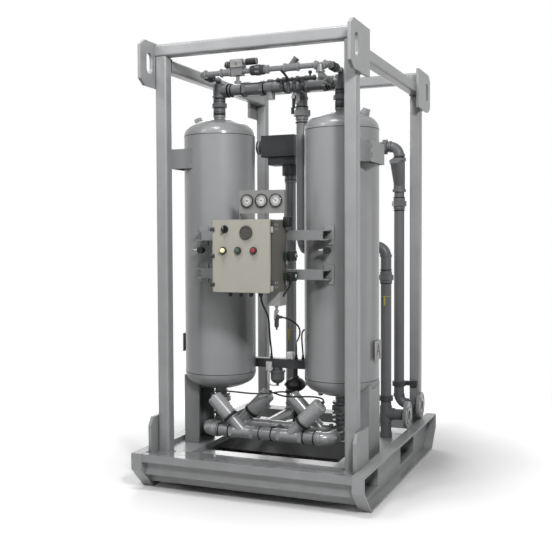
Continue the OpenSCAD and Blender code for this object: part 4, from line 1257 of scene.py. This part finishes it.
@dataclass
class Pipework:
    """Rings, tags, pilot tubes and small fittings of the pipes and valves."""

    header_z: float = 0.277
    manifold_z: float = 2.060
    tower_y: float = -0.315
    front_y: float = -0.500
    pipe_r: float = 0.0302
    # Angle valves: X, Y and the side to which the actuator leans.
    valves: tuple[tuple[float, float, int], ...] = (
        (-0.125, -0.500, -1), (0.125, -0.500, 1), (-0.235, -0.315, 1), (0.235, -0.315, -1))
    lean_angle: float = math.pi / 4
    band: tuple[float, float, float, float] = (0.0395, 0.0412, 0.095, 0.111)
    actuator_end: float = 0.250
    # Sealant rings: how far each kind stands out of the pipe, and half its width.
    ring_sink: float = 0.001
    ring_steps: int = 40
    header_ring: tuple[float, float] = (0.0042, 0.002)
    header_rings: tuple[float, ...] = (-0.262, -0.206, -0.033, 0.033, 0.206, 0.262)
    manifold_ring: tuple[float, float] = (0.0058, 0.0022)
    manifold_rings: tuple[float, ...] = (-0.285, -0.268, -0.204, -0.078, 0.040, 0.146, 0.272, 0.285)
    top_ring: tuple[float, float] = (0.0030, 0.0018)
    top_rings_up: tuple[float, ...] = (0.005, 0.012, 0.019)
    top_rings_down: tuple[float, ...] = (0.020, 0.006)
    standing_ring: tuple[float, float] = (0.0052, 0.002)
    # Standing pipes: outlet riser, inlet riser, outlet drop, inlet drop; X, Y and the rings' heights.
    standing_rings: tuple[tuple[float, float, tuple[float, ...]], ...] = (
        (0.425, 0.241, (0.35, 1.015, 1.09)), (0.419, 0.560, (1.435, 1.512, 1.752)),
        (0.092, -0.215, (1.882, 1.964)), (-0.082, 0.060, (0.4, 1.6)))
    # Pilot tubes: the free points of each, between the fittings that hold it.
    tube_r: float = 0.0043
    cable_r: float = 0.005
    tie_top: float = 0.621
    tie_y: float = -0.200
    tie_ports: tuple[tuple[float, float], ...] = ((0.050, 0.02), (0.088, 0.02), (-0.095, 0.015))
    filter_out: float = 0.026
    filter_z: float = 0.8855
    filter_tube: tuple[Point, ...] = (
        (0.150, -0.602, 0.884), (0.185, -0.540, 0.855), (0.180, -0.470, 0.805), (0.125, -0.370, 0.745),
        (0.070, -0.260, 0.722), (0.050, -0.200, 0.700))
    strut_tube: tuple[Point, ...] = (
        (0.150, -0.290, 0.790), (0.130, -0.280, 0.794), (0.104, -0.260, 0.784), (0.092, -0.230, 0.730),
        (0.088, -0.205, 0.680))
    right_tube: tuple[Point, ...] = (
        (0.322, -0.497, 0.474), (0.270, -0.490, 0.486), (0.150, -0.455, 0.468), (0.040, -0.400, 0.452),
        (-0.030, -0.350, 0.466))
    left_tube: tuple[Point, ...] = (
        (0.036, -0.330, 0.472), (-0.010, -0.370, 0.462), (-0.120, -0.420, 0.458), (-0.240, -0.480, 0.482),
        (-0.318, -0.497, 0.474))
    gland_cable: tuple[Point, ...] = (
        (0.045, -0.661, 0.990), (0.045, -0.655, 0.955), (0.036, -0.590, 0.925), (0.002, -0.460, 0.862),
        (-0.028, -0.390, 0.812), (-0.060, -0.300, 0.720), (-0.085, -0.225, 0.672), (-0.095, -0.200, 0.655))
    junction_tube: tuple[Point, ...] = (
        (0.170, -0.589, 1.062), (0.172, -0.589, 1.045), (0.164, -0.590, 1.030), (0.150, -0.600, 1.010),
        (0.136, -0.606, 0.985))
    # Fittings at the tubes' ends.
    tie_nut: tuple[float, float] = (0.018, 0.010)
    tie_fitting: Profile = ((0, 0.009), (0.0065, 0.009), (0.0065, 0.022), (0.0055, 0.025), (0, 0.025))
    port_fitting: Profile = ((0, -0.002), (0.0075, -0.002), (0.0075, 0.010), (0.006, 0.014), (0, 0.014))
    strut_fitting: Profile = ((0, 0), (0.008, 0), (0.008, 0.014), (0.006, 0.018), (0, 0.018))
    strut_fitting_place: Point = (0.156, -0.290, 0.790)
    junction_plug: tuple[Point, Point] = ((0.141, -0.612, 1.326), (0.174, -0.572, 1.376))
    tie_block: tuple[Point, Point] = ((0.002, -0.222, 0), (0.038, -0.182, 0.038))
    block_soft: float = 0.003
    # Purge controls: a rail with nuts (X, size, length) and cups (X, drop, radius) between two pipes.
    rail_x: float = 0.030
    rail_y: float = -0.420
    rail_z: float = 2.074
    rail: Profile = ((0, 0), (0.0085, 0), (0.0085, 0.120), (0.0105, 0.122), (0.0105, 0.212),
                     (0.0085, 0.215), (0, 0.215))
    rail_nuts: tuple[tuple[float, float, float], ...] = (
        (0.034, 0.026, 0.012), (0.066, 0.030, 0.020), (0.112, 0.024, 0.010), (0.140, 0.032, 0.014),
        (0.186, 0.028, 0.022), (0.232, 0.030, 0.010))
    rail_cups: tuple[tuple[float, float, float], ...] = (
        (0.058, 0.026, 0.010), (0.096, 0.050, 0.014), (0.128, 0.036, 0.011), (0.172, 0.022, 0.012))
    cup_stem: float = 0.0070
    cup_height: float = 0.014
    cup_round: float = 0.019
    cup_share: float = 0.7
    cup_nut: tuple[float, float] = (0.022, 0.009)
    cup_nut_drop: float = 0.35
    vent_x: float = 0.214
    vent_rise: float = 0.006
    vent: Profile = ((0, 0), (0.0050, 0), (0.0050, 0.016), (0.0095, 0.017), (0.0095, 0.027),
                     (0.0070, 0.030), (0, 0.030))
    rail_tube_r: float = 0.006
    rail_front: tuple[Point, ...] = ((0.096, 0, 0), (0.096, -0.015, 0.010), (0.090, -0.055, 0.030))
    rail_front_end: Point = (0.084, -0.505, 2.112)
    rail_back: tuple[Point, ...] = ((0.150, 0, 0), (0.150, 0.020, -0.020), (0.150, 0.050, -0.022))
    rail_back_end: Point = (0.150, -0.335, 2.056)
    sense_r: float = 0.004
    sense_line: tuple[Point, ...] = (
        (-0.143, -0.510, 2.062), (-0.128, -0.496, 2.055), (-0.080, -0.462, 2.058), (0.000, -0.424, 2.072))
    # Tags: X, front, foot and top of each.
    tags: tuple[tuple[float, float, float, float], ...] = (
        (-0.082, 0.0270, 0.677, 0.757), (0.425, 0.2075, 0.877, 0.945))
    tag_half: float = 0.005
    tag_depth: tuple[float, float] = (-0.0012, 0.0005)
    tag_lift: float = 0.012
    tag_soft: float = 0.0005
    strap_skin: tuple[float, float] = (-0.0005, 0.0010)
    strap_half: float = 0.0012
    strap_back: float = 0.0028
    strap_drop: float = 0.004
    # Sight block and tube beside the drain bowl.
    sight: tuple[Point, Point] = ((-0.112, -0.240, 0.556), (-0.081, -0.2235, 0.606))
    sight_soft: float = 0.002
    sight_tube_r: float = 0.004
    sight_tube: tuple[Point, ...] = (
        (-0.097, -0.232, 0.562), (-0.102, -0.234, 0.545), (-0.104, -0.234, 0.508), (-0.098, -0.228, 0.478),
        (-0.080, -0.212, 0.472), (-0.064, -0.203, 0.475))
    # Purge valve and the purge line's fittings.
    purge_y: float = -0.510
    purge_z: float = 2.116
    cover_screw: Profile = ((0, 0), (0.0075, 0), (0.0075, 0.0015), (0.0050, 0.0035), (0, 0.0040))
    cover_screw_place: tuple[float, float] = (-0.142, 2.157)
    corner_screw: Profile = ((0, 0), (0.0028, 0), (0.0022, 0.0014), (0, 0.0016))
    corner_screw_x: tuple[float, ...] = (-0.169, -0.115)
    corner_screw_z: tuple[float, ...] = (2.142, 2.170)
    stub_ring: tuple[float, float, float, float] = (0.0150, 0.0182, -0.0028, 0.0028)
    stub_rings: tuple[float, ...] = (-0.204, -0.195, -0.186)
    stub_z: float = 2.154
    pilot_sleeve: tuple[float, float, float, float] = (0.0155, 0.0170, 0.0, 0.056)
    pilot_sleeve_place: tuple[float, float] = (-0.095, 2.162)
    union_sleeve: tuple[float, float, float, float] = (0.0222, 0.0234, -0.069, 0.007)
    union_nut: tuple[float, float] = (0.0566, 0.021)
    union_nut_x: float = -0.0395
    union_ring: tuple[float, float, float, float] = (0.0226, 0.0250, -0.0022, 0.0022)
    union_rings: tuple[float, ...] = (-0.062, -0.055, -0.048, -0.010, -0.003)
    purge_collars: tuple[float, ...] = (-0.324, -0.234, -0.182, 0.022, 0.114, 0.184, 0.276, 0.324)
    bead: Profile = ((0.0125, -0.0055), (0.0205, -0.0055), (0.0225, -0.0035), (0.0225, 0.0035),
                     (0.0205, 0.0055), (0.0125, 0.0055), (0.0125, -0.0055))
    branch_x: float = 0.300
    branch_r: float = 0.0145
    branch_sink: float = 0.004
    branch_bend: tuple[tuple[float, float], ...] = ((0, 0.022), (0.006, 0.007), (0.022, 0))
    branch_beads: tuple[float, ...] = (0.030, 0.120)
    branch_tee: Profile = ((0, 0), (0.0190, 0), (0.0190, 0.026), (0.0225, 0.028), (0.0225, 0.036),
                           (0.0150, 0.037), (0, 0.037))
    end_union: Profile = ((0.012, 0), (0.0200, 0), (0.0200, 0.062), (0.012, 0.062), (0.012, 0))
    end_union_back: float = 0.046
    end_nut: tuple[float, float] = (0.052, 0.020)
    end_nut_back: float = 0.072
    end_beads: tuple[float, ...] = (0.050, 0.060, 0.102)
    # Unions under the towers: foot, top and radius of each rib, and the nut's foot, height and size.
    bottom_ribs: tuple[tuple[float, float, float], ...] = (
        (0.424, 0.436, 0.049), (0.374, 0.384, 0.048), (0.352, 0.364, 0.050), (0.328, 0.340, 0.046))
    bottom_nut: tuple[float, float, float] = (0.390, 0.028, 0.104)
    # Separator, from the top of its body.
    neck_ring: tuple[float, float, float, float] = (0.0400, 0.0425, 0.012, 0.017)
    neck_drop: float = 0.060
    split_drop: float = 0.120
    split_inset: float = 0.040
    split_rise: float = 0.0008
    split_span: tuple[float, float] = (-0.001, 0.002)
    split_soft: float = 0.0005

    def build(self) -> None:
        """Builds the small pieces of the pipes and valves."""
        self._actuator_bands()
        self._joint_rings()
        self._pilot_tubes()
        self._tube_ends()
        self._pilot_rail()
        self._tags()
        self._drain_tube()
        self._purge_trim()
        self._purge_unions()
        self._bottom_unions()
        self._separator_rings()

    def lean(self, side: int) -> Vector:
        """Gives the direction in which an actuator leans.

        Args:
            side: 1 towards +X, -1 towards -X.

        Returns:
            The direction.
        """
        return Vector((side * math.sin(self.lean_angle), 0.0, math.cos(self.lean_angle)))

    def port(self, index: int) -> Vector:
        """Gives the middle of an actuator's end.

        Args:
            index: Which valve.

        Returns:
            The place.
        """
        x, y, side = self.valves[index]
        return Vector((x, y, self.header_z)) + self.lean(side) * self.actuator_end

    def _actuator_bands(self) -> None:
        """Makes the black seal bands round the actuators."""
        bands = Mould("actuator_bands", RUBBER)
        for x, y, side in self.valves:
            bands.ring(*self.band, (x, y, self.header_z), self.lean(side), steps=48)
        bands.cast()

    def _joint_rings(self) -> None:
        """Makes the dark sealant rings where pipes screw into fittings."""
        rings = Mould("joint_rings", RUBBER)
        for x in self.header_rings:
            self._sealant(rings, self.header_ring, (x, self.front_y, self.header_z), Axis.RIGHT)
        for x in self.manifold_rings:
            self._sealant(rings, self.manifold_ring, (x, self.tower_y, self.manifold_z), Axis.RIGHT)
        foot, head = (corner.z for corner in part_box("top_fittings"))
        levels = (*(foot + up for up in self.top_rings_up), *(head - down for down in self.top_rings_down))
        for side in SIDES:
            for z in levels:
                self._sealant(rings, self.top_ring, (side * Towers.axis_x, self.tower_y, z), Axis.UP)
        for x, y, heights in self.standing_rings:
            for z in heights:
                self._sealant(rings, self.standing_ring, (x, y, z), Axis.UP)
        rings.cast()

    def _sealant(self, rings: Mould, size: tuple[float, float], place: Point, direction: Axis) -> None:
        """Lays one sealant ring round a pipe.

        Args:
            rings: The piece that takes it.
            size: How far it stands out of the pipe, and half its width.
            place: Its middle.
            direction: The pipe's direction.
        """
        rise, half = size
        rings.ring(self.pipe_r - self.ring_sink, self.pipe_r + rise, -half, half, place, direction,
                   steps=self.ring_steps)

    def _pilot_tubes(self) -> None:
        """Makes the bent black pilot tubes, each held at both ends."""
        tubes = Mould("pilot_tubes", TUBE)
        low_left, low_right, rear_left, rear_right = (self.port(n) for n in range(len(self.valves)))
        first, second, third = ((x, self.tie_y, self.tie_top + rise) for x, rise in self.tie_ports)
        low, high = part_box("pilot_regulator")
        middle = (low + high) / 2
        start = (middle.x + self.filter_out, middle.y, self.filter_z)
        for points, radius in (
                ((start, *self.filter_tube, first), self.tube_r),
                ((*self.strut_tube, second), self.tube_r),
                ((low_right, *self.right_tube, rear_left), self.tube_r),
                ((rear_right, *self.left_tube, low_left), self.tube_r),
                ((*self.gland_cable, third), self.cable_r),
                (self.junction_tube, self.tube_r)):
            tubes.run(points, radius)
        tubes.cast()

    def _tube_ends(self) -> None:
        """Makes the push-in fittings and the block on the tie bar."""
        ends = Mould("tube_fittings", BLACK)
        for x, _ in self.tie_ports:
            place = (x, self.tie_y, self.tie_top)
            ends.hexagon(*self.tie_nut, place, Axis.UP)
            ends.turned(self.tie_fitting, place, Axis.UP, steps=20)
        for index, (_, _, side) in enumerate(self.valves):
            ends.turned(self.port_fitting, self.port(index), self.lean(side), steps=20)
        ends.turned(self.strut_fitting, self.strut_fitting_place, Axis.LEFT, steps=20)
        ends.block(*self.junction_plug, self.block_soft)
        ends.cast()
        block = Mould("tie_bar_block", WHITE)
        block.block(*(shifted(corner, (0, 0, self.tie_top)) for corner in self.tie_block), self.block_soft)
        block.cast()

    def _pilot_rail(self) -> None:
        """Makes the small dark purge controls between the purge line and the manifold."""
        rail = Mould("pilot_rail", DARK_CASTING)
        y, z = self.rail_y, self.rail_z
        rail.turned(self.rail, (self.rail_x, y, z), Axis.RIGHT, steps=24)
        for x, across, length in self.rail_nuts:
            rail.hexagon(across, length, (x, y, z), Axis.RIGHT)
        for x, drop, cup in self.rail_cups:
            end = drop + self.cup_round
            rail.turned(((0, 0), (self.cup_stem, 0), (self.cup_stem, drop), (cup, drop),
                         (cup, drop + self.cup_height), (cup * self.cup_share, end), (0, end)),
                        (x, y, z), Axis.DOWN, steps=24)
            rail.hexagon(*self.cup_nut, (x, y, z - drop * self.cup_nut_drop), Axis.DOWN)
        rail.turned(self.vent, (self.vent_x, y, z + self.vent_rise), Axis.UP, steps=24)
        front, back = ([shifted((0, y, z), step) for step in way] for way in (self.rail_front, self.rail_back))
        rail.run((*front, self.rail_front_end), self.rail_tube_r)
        rail.run((*back, self.rail_back_end), self.rail_tube_r)
        rail.run((*self.sense_line, (self.rail_nuts[0][0], y, z)), self.sense_r)
        rail.cast()

    def _tags(self) -> None:
        """Ties the two yellow tags to their pipes."""
        tags = Mould("pipe_tags", TAG)
        inner, outer = (self.pipe_r + skin for skin in self.strap_skin)
        for x, y, low, high in self.tags:
            tags.block((x - self.tag_half, y + self.tag_depth[0], low + self.tag_lift),
                       (x + self.tag_half, y + self.tag_depth[1], high), self.tag_soft)
            tags.ring(inner, outer, -self.strap_half, self.strap_half,
                      (x, y + self.pipe_r + self.strap_back, high - self.strap_drop), steps=self.ring_steps)
        tags.cast()

    def _drain_tube(self) -> None:
        """Makes the pale sight block and tube beside the drain bowl."""
        sight = Mould("drain_sight", WHITE)
        sight.block(*self.sight, self.sight_soft)
        sight.run(self.sight_tube, self.sight_tube_r)
        sight.cast()

    def _purge_trim(self) -> None:
        """Trims the purge valve and the union beside it."""
        low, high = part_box("purge_valve")
        y = (low.y + high.y) / 2
        screws = Mould("purge_screws", SILVER)
        x, z = self.cover_screw_place
        screws.turned(self.cover_screw, (x, low.y, z), Axis.FRONT, steps=28)
        for x in self.corner_screw_x:
            for z in self.corner_screw_z:
                screws.turned(self.corner_screw, (x, low.y, z), Axis.FRONT, steps=16)
        screws.cast()
        dark = Mould("purge_fittings", DARK_CASTING)
        for x in self.stub_rings:
            dark.ring(*self.stub_ring, (x, y, self.stub_z), Axis.RIGHT)
        x, z = self.pilot_sleeve_place
        dark.ring(*self.pilot_sleeve, (x, y, z), Axis.RIGHT)
        dark.ring(*self.union_sleeve, (0.0, y, self.purge_z), Axis.RIGHT)
        dark.hexagon(*self.union_nut, (self.union_nut_x, y, self.purge_z), Axis.RIGHT)
        for x in self.union_rings:
            dark.ring(*self.union_ring, (x, y, self.purge_z), Axis.RIGHT)
        dark.cast()

    def _purge_unions(self) -> None:
        """Makes the purge line's beaded collars, its branch to the manifold and the unions at its ends."""
        collars = Mould("purge_collars", FITTING_PAINT)
        y, z, level = self.purge_y, self.purge_z, self.manifold_z
        for x in self.purge_collars:
            collars.turned(self.bead, (x, y, z), Axis.RIGHT, steps=32)
        x = self.branch_x
        collars.turned(self.branch_tee, (x, y, z), Axis.DOWN, steps=32)
        bend = ((x, y + back, level + rise) for back, rise in self.branch_bend)
        end = (x, self.tower_y - self.pipe_r + self.branch_sink, level)
        collars.run(((x, y, z), *bend, end), self.branch_r)
        for reach in self.branch_beads:
            collars.turned(self.bead, (x, y + reach, level), Axis.BACK, steps=32)
        collars.cast()
        unions = Mould("purge_unions", DARK_CASTING)
        for side in SIDES:
            x = side * Towers.axis_x
            unions.turned(self.end_union, (x, y + self.end_union_back, z), Axis.BACK, steps=32)
            unions.hexagon(*self.end_nut, (x, y + self.end_nut_back, z), Axis.BACK)
            for reach in self.end_beads:
                unions.turned(self.bead, (x, y + reach, z), Axis.BACK, steps=32)
        unions.cast()

    def _bottom_unions(self) -> None:
        """Makes the ribbed unions under the towers."""
        unions = Mould("bottom_unions", PIPE_PAINT)
        foot, height, across = self.bottom_nut
        for side in SIDES:
            x = side * Towers.axis_x
            for low, high, radius in self.bottom_ribs:
                unions.ring(self.pipe_r, radius, low, high, (x, self.tower_y, 0.0), steps=48)
            unions.hexagon(across, height, (x, self.tower_y, foot), Axis.UP)
        unions.cast()

    def _separator_rings(self) -> None:
        """Makes the thin bright ring and the split line of the separator's body."""
        low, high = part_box("inlet_separator")
        y, split_z, out = (low.y + high.y) / 2, high.z - self.split_drop, self.split_rise
        ring = Mould("separator_ring", SILVER)
        ring.ring(*self.neck_ring, (low.x, y, high.z - self.neck_drop), Axis.RIGHT, steps=self.ring_steps)
        ring.cast()
        split = Mould("separator_split", RUBBER)
        split.block((low.x + self.split_inset, low.y - out, split_z + self.split_span[0]),
                    (high.x + out, high.y + out, split_z + self.split_span[1]), self.split_soft)
        split.cast()


def dress() -> None:
    """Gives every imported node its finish."""
    for finish, names in NODE_FINISHES.items():
        for name in names:
            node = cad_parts[name]
            node.data.materials.clear()
            node.data.materials.append(finish.material())
    LOG.info("%d packed nodes dressed", len(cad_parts))


def main() -> None:
    """Builds the studio and the dryer's pieces in order."""
    logging.basicConfig(level=logging.INFO, format="%(message)s")
    Studio().build()
    dress()
    LiftingFrame().build()
    Towers().build()
    ControlStation().build()
    Pipework().build()


if __name__ == "__main__":
    main()
